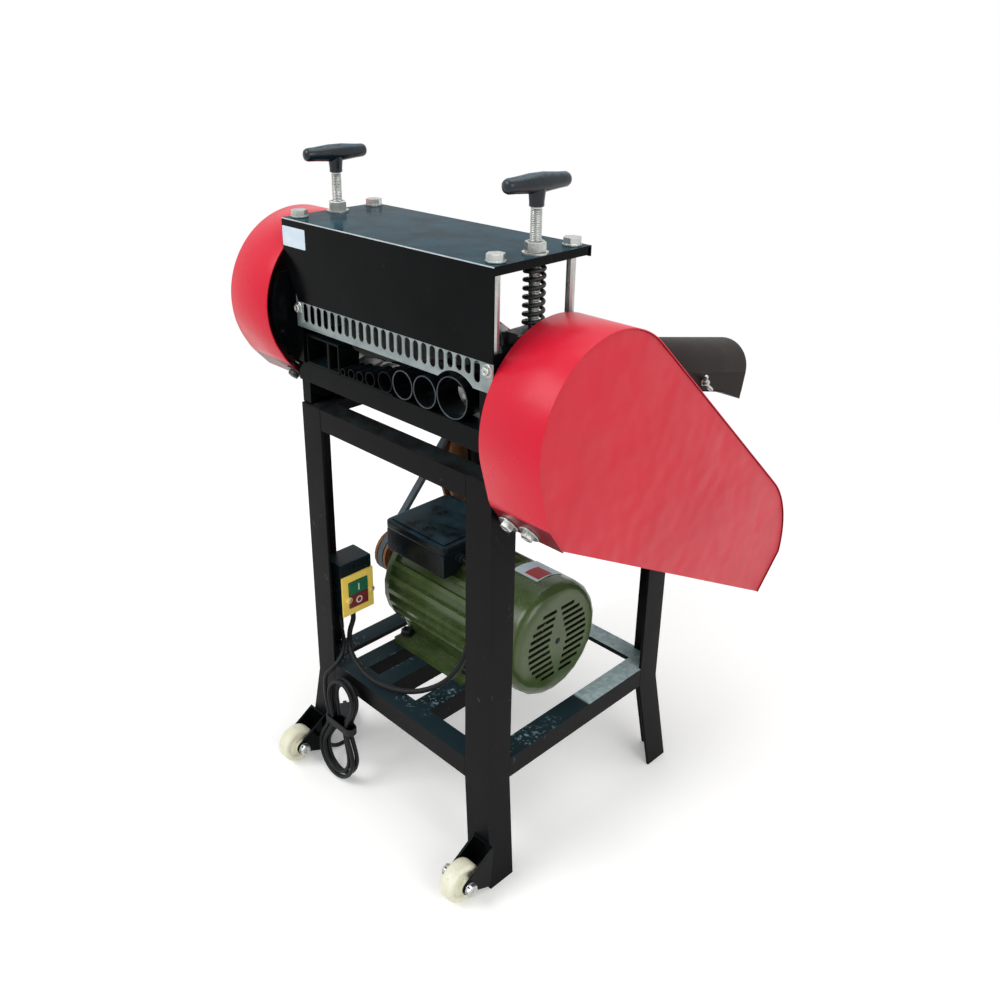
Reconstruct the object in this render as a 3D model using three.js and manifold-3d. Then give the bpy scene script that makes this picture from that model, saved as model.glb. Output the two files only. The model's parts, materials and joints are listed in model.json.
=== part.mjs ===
import * as THREE from "three";
import { mergeVertices } from "three/addons/utils/BufferGeometryUtils.js";
import Module from "manifold-3d";

// A bench wire stripping machine on a stand, in millimetres.
// X runs to the machine's right, Y to its back and Z up. The feet stand on z = 0.

// Clearances
const seatGap = 0.3; // between pieces that touch
const boreGap = 0.35; // round a shaft or a bolt
const overrun = 4; // how far a cutting tool passes the face that it cuts
const weld = 1; // how far two lengths of one welded piece run into each other

// Stand
const standWidth = 334;
const standDepth = 332;
const standHeight = 532;
const shelfHeight = 159;
const legFlange = 38;
const legWall = 4;
const railFlange = 28;
const railWall = 3;
const splayX = 19;
const splayY = 10.5;
const middleBarShare = 0.4;

// Casters
const casterOffset = 1;
const casterReach = 46;
const casterX = standWidth / 2 + casterOffset;
const casterY = -standDepth / 2 - casterReach;
const wheelDiameter = 50;
const wheelWidth = 20;
const wheelEdge = 3;
const wheelDish = 4;
const wheelHubWidth = 27;
const wheelHubDiameter = 18;
const wheelFloorGap = 2;
const bracketInside = 28;
const bracketWall = 3;
const bracketTop = 62;
const bracketFoot = 4;
const bracketEyeRadius = 9;
const bracketEyeFrom = 135;
const bracketEyeTo = 290;
const axleDiameter = 8;
const axleHeadAcross = 13;
const axleHeadHeight = 5;

// Head: side plates and rails
const headDepth = 172;
const sideWall = 16;
const sideRearShoulder = 34;
const sideRearDrop = 72;
const rollerRise = 34;
const shaftSpacing = 89;
const wireTableRise = 55.5;
const sideTopRise = 17;
const slotFloorRise = 34;
const backPlateRise = 43;
const backPlateReach = 136;
const headRailHeight = 25;
const headRailFlange = 25;
const headRailWall = 3;
const postSpacing = 110;
const shaftBack = 64;
const slotWidth = 60;
const journalDiameter = 30;
const backPlateRadius = 97;
const rollerHeight = standHeight + rollerRise;
const bladeHeight = rollerHeight + shaftSpacing;
const wireTable = standHeight + wireTableRise;
const sideTop = bladeHeight + sideTopRise;
const slotFloor = rollerHeight + slotFloorRise;
const backPlateTop = bladeHeight + backPlateRise;
const backPlateRear = backPlateReach - standDepth / 2;
const shaftY = shaftBack - standDepth / 2;

// Top plate, bent sheet, corner bolts
const topRise = 88;
const topOverhang = 6;
const topNose = 7;
const topDepth = 140;
const topHeight = sideTop + topRise;
const topWidth = standWidth + 2 * topOverhang;
const topFront = -standDepth / 2 - topNose;
const sheetWall = 1.5;
const plateWall = 8;
const plateInset = 1.5;
const skirtDrop = 95;
const skirtTaperDrop = 49;
const skirtTaperWidth = 24;
const lipDrop = 11;
const postDiameter = 10;
const postThread = 8;
const postSeat = 15;
const boltAcross = 17;
const boltHeadHeight = 6.5;
const washerDiameter = 21;
const washerWall = 1.8;

// Adjusting screws, handles, springs, bearing blocks
const screwDiameter = 12;
const screwNutAcross = 24;
const screwNutHeight = 11;
const screwWasherDiameter = 27;
const handleRise = 69;
const handleHubDrop = 24;
const handleHeight = topHeight + handleRise;
const hubBottom = handleHeight - handleHubDrop;
const handleLength = 84;
const handleDiameter = 16.5;
const handleEndDiameter = 12.5;
const hubDiameter = 15;
const hubTopDiameter = 17;
const handleBoreDepth = 12;
const handleTurn = 86;
const handleRoundShare = 0.25;
const springDiameter = 24;
const springWire = 4.4;
const springTurns = 7.5;
const springEndTurns = 0.75;
const springEndShare = 1.2;
const springSides = 5;
const springStepsPerTurn = 8;
const blockHeight = 60;
const blockThickness = 24;
const blockGroove = 4;

// Cutters and feed roller
const channelCentres = [-126, -94.5, -78, -62, -46.5, -27.5, -1, 28.5, 64.6, 107];
const channelHeights = [36, 36, 10, 13, 14.2, 18.4, 25.6, 34, 37, 47];
const cutterWall = 4;
const cutterBite = 3;
const smallestCutterGap = 5;
const rollerDiameter = 48;
const grooveShare = 0.16;
const grooveWidthShare = 0.5;
const gearTeeth = 12;
const gearTip = 48;
const gearRoot = 34;
const gearTipWidth = 4;
const gearRootWidth = 9;
const gearWall = 16;
const gearGap = 3;
const collarWall = 4;

// Comb plate
const combWall = 2;
const combLeft = -156;
const combRight = 171;
const combDrop = 21.5;
const combHeight = 48;
const combSlotWidth = 7;
const combSlotPitch = 13.1;
const combSlotHeight = 20;
const combShortHeight = 11;
const combFirstSlot = -139;
const combLongSlots = 19;
const combShortSlots = 3;
const combSlotDrop = 8.5;
const combArchX = 118;
const combArchDrop = 25;
const combArchRadius = 36;
const combScrewRise = 23;
const combScrewInset = 5;
const combScrewMargin = 7;
const combScrewHole = 6;
const combBottom = bladeHeight - combDrop;
const combArchHeight = combBottom - combArchDrop;
const combScrewXs = [combLeft + combScrewInset, combRight - combScrewMargin];

// Guide tubes
const guideLength = 30;
const guideWall = 1.6;
const boxGuideWidths = [42, 20];
const boxGuideWall = 2.5;
const guideStrip = 1.6;

// Rear cross shaft, chain and belt
const crossShaftReach = 71;
const crossShaftRise = 183;
const crossShaftDiameter = 25;
const bearingPlateWall = 8;
const bearingRadius = 34;
const bearingBoss = 6;
const bearingPlateRise = 50;
const bearingPlateDrop = 6;
const bearingPlateLap = 36;
const bearingRimFrom = 80;
const bearingRimTo = -95;
const crossShaftY = standDepth / 2 + crossShaftReach;
const crossShaftZ = shelfHeight + crossShaftRise;
const chainPitch = 12.7;
const chainWidth = 8;
const chainHeight = 6;
const chainTipGap = 1;
const sprocketOverhang = 23;
const sprocketX = standWidth / 2 + sprocketOverhang;
const sprocketWall = 7;
const sprocketTeeth = 32;
const smallSprocketTeeth = 13;
const toothTipShare = 0.21;
const toothRootShare = 0.28;
const toothFlankShare = 0.3;
const toothTipWidthShare = 0.08;
const bigPulleyRadius = 134;
const beltOverhang = 33;
const beltPlane = -standWidth / 2 - beltOverhang;
const beltWidth = 13;
const beltDepth = 8;
const beltRise = 3;
const motorPulleyRadius = 32;
const pulleyWidth = 24;
const pulleyWeb = 8;
const pulleyRim = 12;
const pulleyHub = 24;
const grooveAngle = 17;

// Guards
const guardRoom = 40;
const guardBlockGap = 0.6;
const guardWall = 1.5;
const guardHeadBack = 21;
const guardHeadRise = 23;
const guardHeadRadius = 109;
const guardTailFront = 52;
const guardTailDrop = 8;
const guardTailRadius = 121;
const guardCreaseNose = 8;
const guardCreaseDrop = 16;
const guardFootBack = 16;
const guardFootDrop = 50;
const guardHeelBack = 23;
const guardHeelDrop = 79;
const guardTailEnd = -12;
const leftHeadBack = 3;
const leftHeadDrop = 2.5;
const leftHeadRadius = 103;
const leftCreaseNose = 13.5;
const leftCreaseRise = 54;
const leftFootBack = 11;
const leftFootRise = 27.5;
const leftTailRoom = 16;
const leftTailEnd = -28;
const leftHeelDrop = 2.2;
const guardLugWidth = 20;
const guardTabWall = 3;
const guardTabReach = 78;
const guardBolt = 8;
const guardBoltShares = [0.12, 0.42];
const leftTabShare = 0.8;
const guardReach = guardRoom + pulleyWidth / 2 - beltPlane;
const guardHeadY = shaftY + guardHeadBack;
const guardHeadZ = rollerHeight + guardHeadRise;
const guardTailY = crossShaftY - guardTailFront;
const guardTailZ = crossShaftZ - guardTailDrop;
const guardCreaseY = -standDepth / 2 - guardCreaseNose;
const guardCreaseZ = standHeight - guardCreaseDrop;
const guardFootY = guardFootBack - standDepth / 2;
const guardFootZ = standHeight - guardFootDrop;
const guardHeelY = crossShaftY + guardHeelBack;
const guardHeelZ = crossShaftZ - guardHeelDrop;
const leftHeadY = shaftY + leftHeadBack;
const leftHeadZ = bladeHeight - leftHeadDrop;
const leftTailRadius = bigPulleyRadius + leftTailRoom;

// Motor
const motorY = 6;
const motorHeight = 80;
const footSpacingX = 125;
const footSpacingY = 125;
const footFrontX = -104;
const footLength = 140;
const footWidth = 160;
const footWall = 9;
const footPad = 34;
const footBoltHole = 10;
const footWebToe = 4;
const footWebShares = [0.98, 0.25, 0.5, 0.5];
const statorOverhang = 13.5;
const housingRadius = 71;
const finHeight = 8;
const finCount = 24;
const finShare = 0.45;
const finTipShare = 0.7;
const housingLength = 167;
const shieldLength = 35;
const shieldRadius = 78;
const shieldBoss = 34;
const shieldNose = 4;
const shieldNoseDepth = 5;
const shieldFlare = 6;
const shieldCrown = 12;
const shieldCrownDepth = 3;
const shieldRim = 8;
const motorShaftDiameter = 24;
const motorShaftStub = 1;
const fanCoverRadius = 80;
const fanCoverLength = 78;
const fanCoverWall = 1.5;
const fanCoverRound = 15;
const fanLugCount = 4;
const fanLugGap = 1.2;
const fanLugWidth = 12;
const fanLugLength = 12;
const grilleRadius = 55;
const grilleSlot = 5;
const grillePitch = 9.3;
const grilleBand = 4;
const grilleDiamond = 13;
const grilleCentre = 9;
const fanRadius = 66;
const fanWall = 4;
const fanBlade = 20;
const fanBlades = 6;
const fanHub = 22;
const terminalBoxOverhang = 5;
const terminalBoxLength = 115;
const terminalBoxNose = 73;
const terminalBoxDepth = 114;
const terminalBoxRise = 60.7;
const terminalHeight = 47;
const terminalLidHeight = 13;
const terminalLidLip = 3.5;
const leadGland = 13;
const leadGlandLength = 9;
const leadGlandSide = 46;
const leadGlandRise = 23;

// Switch
const switchInset = 14;
const switchGland = 11;
const switchGlandPlaces = [
  [26.7, 26],
  [12.7, 14],
];
const switchWidth = 52;
const switchDepth = 38;
const switchBottom = 229;
const switchHeight = 78;
const switchFront = switchInset - standDepth / 2;
const bezelWall = 3;
const bezelHeight = 60;
const bezelRim = 10;
const keyGap = 0.4;
const keyStand = 3;
const keyTravel = 2.5;

// Leads
const leadDiameter = 7;
const mainsDiameter = 6;
const tubeSides = 8;
const leadSteps = 26;
const mainsSteps = 12;

// Motor lead, from the switch's gland to the gland of the motor's capacitor box
const motorLeadRoute = [
  [-136, -126, 219.7],
  [-136, -126, 210],
  [-132, -136, 194],
  [-111, -150, 179],
  [-62, -156, 165],
  [0, -143, 171.5],
  [34, -119, 189],
  [56, -104, 225],
  [60, -92, 268],
  [44, -74, 304],
  [23, -50, 321],
  [8, -40, 323],
  [-5.7, -40, 323],
];

// Mains lead, from the switch's gland down the front of the left leg to the hank
const mainsRoute = [
  [-150, -138, 219.7],
  [-150, -138, 209],
  [-143, -141, 196],
  [-129, -149, 184],
  [-121.5, -160, 172],
  [-122, -173.5, 160],
  [-129.5, -180.3, 148],
  [-131.4, -181.8, 136],
  [-131.4, -181.8, 129.9],
];

// Hank of spare mains lead
const hankX = -98;
const hankTopY = -176;
const hankLean = 15;
const hankBottom = 4;
const hankLength = 126;
const hankTopRadius = 18;
const hankFootRadius = 26;
const hankWaist = 8;
const hankWaistHeight = 70;
const hankStep = 7.7;
const hankLayerPitch = 7.4;
const hankTurns = 2;
const hankTailRadius = 28;
const hankTailTurnRadius = 24;
const hankTailTurn = 62;
const hankEndTurns = 1.25;
const hankStepsPerTurn = 24;
const hankTailSteps = 6;
const hankLayerShares = [0.5, 0.25];
const tubeFacets = 6;

// Plug on the end of the mains lead
const plugLength = 34;
const plugWidth = 24;
const plugHeight = 20;
const plugRelief = 20;
const plugReliefWall = 1;
const plugReliefRadius = 7;
const plugAxis = 10.3;
const pinLength = 17;
const pinWidth = 6;
const pinWall = 2;
const pinSpacing = 12;

// Outlet chute
const chuteX = channelCentres[channelCentres.length - 1];
const chuteRadius = 39;
const chuteWall = 2;
const chuteRailGap = 2;
const chuteLength = 346;
const chuteSlope = 12;
const chuteTrayRise = 12;
const chuteFlap = 54;
const chuteFlapStartDrop = 26;
const chuteFlapDrop = 38;
const chuteSideDrop = 28;

// Facets
const roundSides = 16;
const shaftSides = 14;
const fineSides = 22;
const smallSides = 10;
const hexSides = 6;
const holeSides = 8;

const wasm = await Module();
wasm.setup();

// Solids and joins

function solidOf(geometry) {
  const bare = geometry.index ? geometry.toNonIndexed() : geometry.clone();
  bare.deleteAttribute("normal");
  bare.deleteAttribute("uv");
  const merged = mergeVertices(bare, 1e-3);
  return new wasm.Manifold(
    new wasm.Mesh({
      numProp: 3,
      vertProperties: merged.attributes.position.array,
      triVerts: new Uint32Array(merged.index.array),
    }),
  );
}

function geometryOf(solid) {
  const mesh = solid.getMesh();
  const geometry = new THREE.BufferGeometry();
  geometry.setAttribute("position", new THREE.BufferAttribute(mesh.vertProperties, mesh.numProp));
  geometry.setIndex(new THREE.BufferAttribute(mesh.triVerts, 1));
  const faceted = geometry.toNonIndexed();
  faceted.computeVertexNormals();
  return faceted;
}

function join(...geometries) {
  return geometryOf(geometries.map(solidOf).reduce((sum, next) => sum.add(next)));
}

function cut(geometry, ...tools) {
  return geometryOf(tools.map(solidOf).reduce((rest, tool) => rest.subtract(tool), solidOf(geometry)));
}

// Outlines and simple shapes

function point(a, b) {
  return new THREE.Vector2(a, b);
}

function radians(degrees) {
  return THREE.MathUtils.degToRad(degrees);
}

function arc(a, b, radius, from, to, steps) {
  return Array.from({ length: steps + 1 }, (unused, i) => {
    const angle = radians(from + ((to - from) * i) / steps);
    return point(a + radius * Math.cos(angle), b + radius * Math.sin(angle));
  });
}

function circle(a, b, radius, sides = roundSides) {
  return arc(a, b, radius, 0, 360, sides).slice(0, sides);
}

function rectangle(a0, a1, b0, b1) {
  return [point(a0, b0), point(a1, b0), point(a1, b1), point(a0, b1)];
}

function shapeOf(outline, ...holes) {
  const shape = new THREE.Shape(outline);
  shape.holes = holes.map((hole) => new THREE.Path(hole));
  return shape;
}

function extrude(shape, depth) {
  return new THREE.ExtrudeGeometry(shape, { depth, bevelEnabled: false, curveSegments: 1 });
}

// Outline in (y, z), extruded from one x to another
function alongX(shape, from, to) {
  const geometry = extrude(shape, to - from);
  const turn = new THREE.Matrix4().makeBasis(
    new THREE.Vector3(0, 1, 0),
    new THREE.Vector3(0, 0, 1),
    new THREE.Vector3(1, 0, 0),
  );
  return geometry.applyMatrix4(turn).translate(from, 0, 0);
}

// Outline in (x, z), extruded from one y to another
function alongY(shape, from, to) {
  const geometry = extrude(shape, to - from);
  const turn = new THREE.Matrix4().makeBasis(
    new THREE.Vector3(1, 0, 0),
    new THREE.Vector3(0, 0, 1),
    new THREE.Vector3(0, -1, 0),
  );
  return geometry.applyMatrix4(turn).translate(0, to, 0);
}

// Outline in (x, y), extruded from one z to another
function alongZ(shape, from, to) {
  return extrude(shape, to - from).translate(0, 0, from);
}

function block(x0, x1, y0, y1, z0, z1) {
  const geometry = new THREE.BoxGeometry(x1 - x0, y1 - y0, z1 - z0);
  return geometry.translate((x0 + x1) / 2, (y0 + y1) / 2, (z0 + z1) / 2);
}

function rodX(y, z, radius, from, to, sides = roundSides) {
  return alongX(shapeOf(circle(y, z, radius, sides)), from, to);
}

function rodY(x, z, radius, from, to, sides = roundSides) {
  return alongY(shapeOf(circle(x, z, radius, sides)), from, to);
}

function rodZ(x, y, radius, from, to, sides = roundSides) {
  return alongZ(shapeOf(circle(x, y, radius, sides)), from, to);
}

// Profile of (radius, distance along X) turned about an X axis through (y, z)
function turnedX(profile, y, z, sides = roundSides) {
  const points = profile.map(([radius, x]) => point(radius, x));
  const geometry = new THREE.LatheGeometry(points, sides);
  return geometry.rotateZ(-Math.PI / 2).translate(0, y, z);
}

// Profile of (radius, height) turned about a vertical axis through (x, y)
function turnedZ(profile, x, y, sides = roundSides) {
  const points = profile.map(([radius, z]) => point(radius, z));
  const geometry = new THREE.LatheGeometry(points, sides);
  return geometry.rotateX(Math.PI / 2).translate(x, y, 0);
}

function hexRadius(across) {
  return across / 2 / Math.cos(Math.PI / hexSides);
}

// A closed tube of a few sides along a list of points, with flat ends
function sweptTube(points, radius, sides) {
  const positions = [];
  const triangles = [];
  const last = points.length - 1;
  const tangentAt = (i) =>
    new THREE.Vector3().subVectors(points[Math.min(i + 1, last)], points[Math.max(i - 1, 0)]).normalize();
  let tangent = tangentAt(0);
  let normal = new THREE.Vector3(1, 0, 0);
  if (Math.abs(tangent.dot(normal)) > 0.9) normal = new THREE.Vector3(0, 1, 0);
  normal.sub(tangent.clone().multiplyScalar(normal.dot(tangent))).normalize();
  points.forEach((centre, i) => {
    tangent = tangentAt(i);
    normal.sub(tangent.clone().multiplyScalar(normal.dot(tangent))).normalize();
    const side = new THREE.Vector3().crossVectors(tangent, normal);
    for (let k = 0; k < sides; k++) {
      const angle = (2 * Math.PI * k) / sides;
      const vertex = centre
        .clone()
        .addScaledVector(normal, radius * Math.cos(angle))
        .addScaledVector(side, radius * Math.sin(angle));
      positions.push(vertex.x, vertex.y, vertex.z);
    }
  });
  for (let i = 0; i < last; i++) {
    for (let k = 0; k < sides; k++) {
      const a = i * sides + k;
      const b = i * sides + ((k + 1) % sides);
      triangles.push(a, b, a + sides, b, b + sides, a + sides);
    }
  }
  for (let k = 1; k < sides - 1; k++) {
    triangles.push(0, k + 1, k);
    triangles.push(last * sides, last * sides + k, last * sides + k + 1);
  }
  const geometry = new THREE.BufferGeometry();
  geometry.setAttribute("position", new THREE.Float32BufferAttribute(positions, 3));
  geometry.setIndex(triangles);
  return geometry;
}

// Least distance between the surfaces of turns that aren't neighbours along the tube
function leastSelfGap(points, radius) {
  let least = Infinity;
  const reach = radius * 4;
  const travelled = [0];
  for (let i = 1; i < points.length; i++) travelled.push(travelled[i - 1] + points[i].distanceTo(points[i - 1]));
  for (let i = 0; i + 1 < points.length; i++) {
    for (let j = i + 2; j + 1 < points.length; j++) {
      if (travelled[j] - travelled[i + 1] < reach) continue;
      least = Math.min(least, segmentDistance(points[i], points[i + 1], points[j], points[j + 1]));
    }
  }
  return least - 2 * radius;
}

function segmentDistance(a0, a1, b0, b1) {
  const steps = 8;
  let least = Infinity;
  for (let i = 0; i <= steps; i++) {
    const onA = a0.clone().lerp(a1, i / steps);
    const nearest = new THREE.Line3(b0, b1).closestPointToPoint(onA, true, new THREE.Vector3());
    least = Math.min(least, onA.distanceTo(nearest));
  }
  return least;
}

// Places that several pieces share

const sideX = standWidth / 2;
const frontY = -standDepth / 2;
const rearY = standDepth / 2;
const kinkHeight = shelfHeight - railFlange;
const headBack = frontY + headDepth;
const postX = sideX - sideWall / 2;
const postFrontY = shaftY - postSpacing / 2;
const postRearY = shaftY + postSpacing / 2;
const combBack = topFront + sheetWall + seatGap + combWall;
const sideFront = combBack + seatGap;
const plateTop = topHeight - sheetWall - seatGap;
const plateBottom = plateTop - plateWall;
const motorZ = shelfHeight + seatGap + motorHeight;
const housingLeft = footFrontX - (footLength - footSpacingX) / 2 - statorOverhang;
const housingRight = housingLeft + housingLength;
const fanCoverRight = housingRight + seatGap + fanCoverLength;
const terminalBoxLeft = housingLeft - terminalBoxOverhang;
const terminalBoxFront = motorY - terminalBoxNose;
const terminalBoxBottom = motorZ + terminalBoxRise;
const terminalLidTop = terminalBoxBottom + terminalHeight;
const motorShaftEnd = beltPlane - pulleyWidth / 2 - motorShaftStub;
const leftGuardInner = -topWidth / 2 - 2 * seatGap;
const rightGuardInner = postX + blockThickness / 2 + guardBlockGap;
const mats = {};

// Materials

function material(name, color, roughness, metalness) {
  mats[name] = new THREE.MeshStandardMaterial({ color, roughness, metalness });
}
material("blackPaint", 0x1a1c1e, 0.35, 0.2);
material("redPaint", 0xd8303f, 0.4, 0.1);
material("zinc", 0xc9cdd0, 0.3, 0.9);
material("steel", 0x9a9da0, 0.35, 0.9);
material("aluminium", 0xb4bab8, 0.4, 0.8);
material("castBrown", 0x7a4a2a, 0.6, 0.3);
material("motorGreen", 0x58683f, 0.45, 0.2);
material("blackPlastic", 0x16181a, 0.45, 0);
material("rubber", 0x141414, 0.7, 0);
material("nylon", 0xe9ead8, 0.5, 0);
material("yellowPlastic", 0xe2b83a, 0.45, 0);
material("greenPlastic", 0x1f6e48, 0.4, 0);
material("redPlastic", 0x7d2329, 0.4, 0);

const machine = new THREE.Group();
machine.name = "wire_stripping_machine";

function add(name, geometry, materialName) {
  const mesh = new THREE.Mesh(geometry, mats[materialName]);
  mesh.name = name;
  machine.add(mesh);
  return mesh;
}

// Stand

function legOutline(sx, sy, grow) {
  const x = sx * (sideX + grow);
  const y = sy * (rearY + grow);
  const innerX = x - sx * (legWall + 2 * grow);
  const innerY = y - sy * (legWall + 2 * grow);
  const farX = sx * (sideX - legFlange - grow);
  const farY = sy * (rearY - legFlange - grow);
  const outline = [
    point(x, y),
    point(farX, y),
    point(farX, innerY),
    point(innerX, innerY),
    point(innerX, farY),
    point(x, farY),
  ];
  return sx * sy > 0 ? outline : outline.reverse();
}

// The same outline at three heights: splayed foot, kink and top
function leg(sx, sy) {
  const outline = legOutline(sx, sy, 0);
  const levels = [
    { z: 0, x: sx * splayX, y: sy * splayY },
    { z: kinkHeight, x: 0, y: 0 },
    { z: standHeight, x: 0, y: 0 },
  ];
  const positions = levels.flatMap((level) => outline.flatMap((p) => [p.x + level.x, p.y + level.y, level.z]));
  const count = outline.length;
  const triangles = [];
  for (let level = 0; level + 1 < levels.length; level++) {
    for (let k = 0; k < count; k++) {
      const a = level * count + k;
      const b = level * count + ((k + 1) % count);
      triangles.push(a, b, a + count, b, b + count, a + count);
    }
  }
  const caps = THREE.ShapeUtils.triangulateShape(outline, []);
  const top = (levels.length - 1) * count;
  caps.forEach(([a, b, c]) => triangles.push(a, c, b, top + a, top + b, top + c));
  const geometry = new THREE.BufferGeometry();
  geometry.setAttribute("position", new THREE.Float32BufferAttribute(positions, 3));
  geometry.setIndex(triangles);
  return geometry;
}

// A ring of angle with its flat flange on top, cut away round the four legs
function angleRing(top) {
  const outer = rectangle(-sideX, sideX, frontY, rearY);
  const inWall = rectangle(-sideX + railWall, sideX - railWall, frontY + railWall, rearY - railWall);
  const inFlange = rectangle(
    -sideX + railFlange,
    sideX - railFlange,
    frontY + railFlange,
    rearY - railFlange,
  );
  const skirt = alongZ(shapeOf(outer, inWall), top - railFlange, top);
  const flat = alongZ(shapeOf(outer, inFlange), top - railWall, top);
  return join(skirt, flat);
}

function legTools(bottom, top) {
  return [
    [1, 1],
    [1, -1],
    [-1, 1],
    [-1, -1],
  ].map(([sx, sy]) => alongZ(shapeOf(legOutline(sx, sy, seatGap)), bottom - overrun, top + overrun));
}

function tableFrame() {
  return cut(angleRing(standHeight), ...legTools(standHeight - railFlange, standHeight));
}

function motorBarCentres() {
  return [footFrontX, footFrontX + footSpacingX * middleBarShare, footFrontX + footSpacingX];
}

function shelfFrame() {
  const bars = motorBarCentres().flatMap((x) => {
    const left = x - railFlange / 2;
    const right = x + railFlange / 2;
    const from = frontY + railWall - weld;
    const to = rearY - railWall + weld;
    return [
      block(left, right, from, to, shelfHeight - railWall, shelfHeight),
      block(right - railWall, right, from, to, shelfHeight - railFlange, shelfHeight),
    ];
  });
  const holes = [footFrontX, footFrontX + footSpacingX].flatMap((x) =>
    [-1, 1].map((side) =>
      rodZ(
        x,
        motorY + (side * footSpacingY) / 2,
        footBoltHole / 2,
        shelfHeight - railWall - overrun,
        shelfHeight + overrun,
        smallSides,
      ),
    ),
  );
  return cut(join(angleRing(shelfHeight), ...bars), ...legTools(kinkHeight, shelfHeight), ...holes);
}

// Casters

function legFrontAt(z) {
  return frontY - (splayY * (kinkHeight - z)) / kinkHeight - seatGap;
}

function wheelAxisHeight() {
  return wheelFloorGap + wheelDiameter / 2;
}

function casterBracket(side) {
  const axisZ = wheelAxisHeight();
  const eye = arc(casterY, axisZ, bracketEyeRadius, bracketEyeFrom, bracketEyeTo, holeSides);
  const cheek = shapeOf([
    point(legFrontAt(bracketTop), bracketTop),
    ...eye,
    point(legFrontAt(bracketFoot), bracketFoot),
  ]);
  const web = shapeOf([
    point(legFrontAt(bracketTop), bracketTop),
    point(legFrontAt(bracketTop) - bracketWall, bracketTop),
    point(legFrontAt(bracketFoot) - bracketWall, bracketFoot),
    point(legFrontAt(bracketFoot), bracketFoot),
  ]);
  const x = side * casterX;
  const inner = bracketInside / 2;
  const outer = inner + bracketWall;
  const axle = rodX(
    casterY,
    axisZ,
    axleDiameter / 2,
    x - outer - axleHeadHeight,
    x + outer + weld,
    smallSides,
  );
  const head = rodX(
    casterY,
    axisZ,
    hexRadius(axleHeadAcross),
    x + outer,
    x + outer + axleHeadHeight,
    hexSides,
  );
  const nut = rodX(
    casterY,
    axisZ,
    hexRadius(axleHeadAcross),
    x - outer - axleHeadHeight,
    x - outer,
    hexSides,
  );
  return join(
    alongX(cheek, x - outer, x - inner),
    alongX(cheek, x + inner, x + outer),
    alongX(web, x - inner - weld, x + inner + weld),
    axle,
    head,
    nut,
  );
}

function casterWheel(side) {
  const radius = wheelDiameter / 2;
  const half = wheelWidth / 2;
  const hub = wheelHubDiameter / 2;
  const hubHalf = wheelHubWidth / 2;
  const bore = axleDiameter / 2 + boreGap;
  const dishOuter = radius - wheelEdge - wheelDish;
  const profile = [
    [bore, -hubHalf],
    [hub, -hubHalf],
    [hub, -half + wheelDish],
    [dishOuter, -half + wheelDish],
    [dishOuter + wheelDish / 2, -half],
    [radius - wheelEdge, -half],
    [radius, -half + wheelEdge],
    [radius, half - wheelEdge],
    [radius - wheelEdge, half],
    [dishOuter + wheelDish / 2, half],
    [dishOuter, half - wheelDish],
    [hub, half - wheelDish],
    [hub, hubHalf],
    [bore, hubHalf],
    [bore, -hubHalf],
  ].map(([r, x]) => [r, x + side * casterX]);
  return turnedX(profile, casterY, wheelAxisHeight());
}

// Head

// One side plate: an open slot at the top for the bearing block, a bore for the roller's journal
function sidePlateShape() {
  const bottom = standHeight + seatGap;
  const railFront = frontY + headRailWall + seatGap;
  const step = wireTable + seatGap;
  const outline = [
    point(railFront, bottom),
    point(headBack - headRailWall - seatGap, bottom),
    point(headBack - headRailWall - seatGap, sideTop - sideRearDrop),
    point(headBack - sideRearShoulder, sideTop),
    point(shaftY + slotWidth / 2, sideTop),
    point(shaftY + slotWidth / 2, slotFloor),
    point(shaftY - slotWidth / 2, slotFloor),
    point(shaftY - slotWidth / 2, sideTop),
    point(sideFront, sideTop),
    point(sideFront, step),
    point(railFront, step),
  ];
  return shapeOf(outline, circle(shaftY, rollerHeight, journalDiameter / 2 + boreGap));
}

// The round black plate behind the left guard
function backPlate() {
  const drop = backPlateTop - leftHeadZ;
  const start = THREE.MathUtils.radToDeg(Math.asin(drop / backPlateRadius));
  const rim = arc(
    leftHeadY,
    leftHeadZ,
    backPlateRadius,
    180 - start,
    360 + start,
    fineSides,
  );
  const disc = alongX(shapeOf(rim), leftGuardInner + seatGap, -sideX);
  const neck = block(
    leftGuardInner + seatGap,
    -sideX,
    shaftY - journalDiameter,
    shaftY + journalDiameter,
    standHeight,
    rollerHeight,
  );
  const plate = join(disc, neck);
  const margin = (blockThickness - sideWall) / 2;
  const slot = block(
    leftGuardInner - overrun,
    -sideX,
    shaftY - slotWidth / 2 - blockGroove - margin,
    shaftY + slotWidth / 2 + blockGroove + margin,
    slotFloor,
    backPlateTop + overrun,
  );
  const bore = rodX(shaftY, rollerHeight, journalDiameter / 2 + boreGap, leftGuardInner - overrun, 0);
  const rear = block(
    leftGuardInner - overrun,
    0,
    backPlateRear,
    rearY,
    standHeight - overrun,
    backPlateTop + overrun,
  );
  const foot = block(leftGuardInner - overrun, 0, -standDepth, rearY, 0, standHeight + seatGap);
  return cut(plate, slot, bore, rear, foot);
}

function postHoles(side) {
  return [postFrontY, postRearY].map((y) =>
    rodZ(
      side * postX,
      y,
      postDiameter / 2 + boreGap,
      sideTop - postSeat - seatGap,
      sideTop + overrun,
      smallSides,
    ),
  );
}

function sidePlate(side) {
  const inner = sideX - sideWall;
  const from = side > 0 ? inner : -sideX;
  const plate = alongX(sidePlateShape(), from, from + sideWall);
  const whole = side > 0 ? plate : join(plate, backPlate());
  return cut(whole, ...postHoles(side));
}

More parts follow.
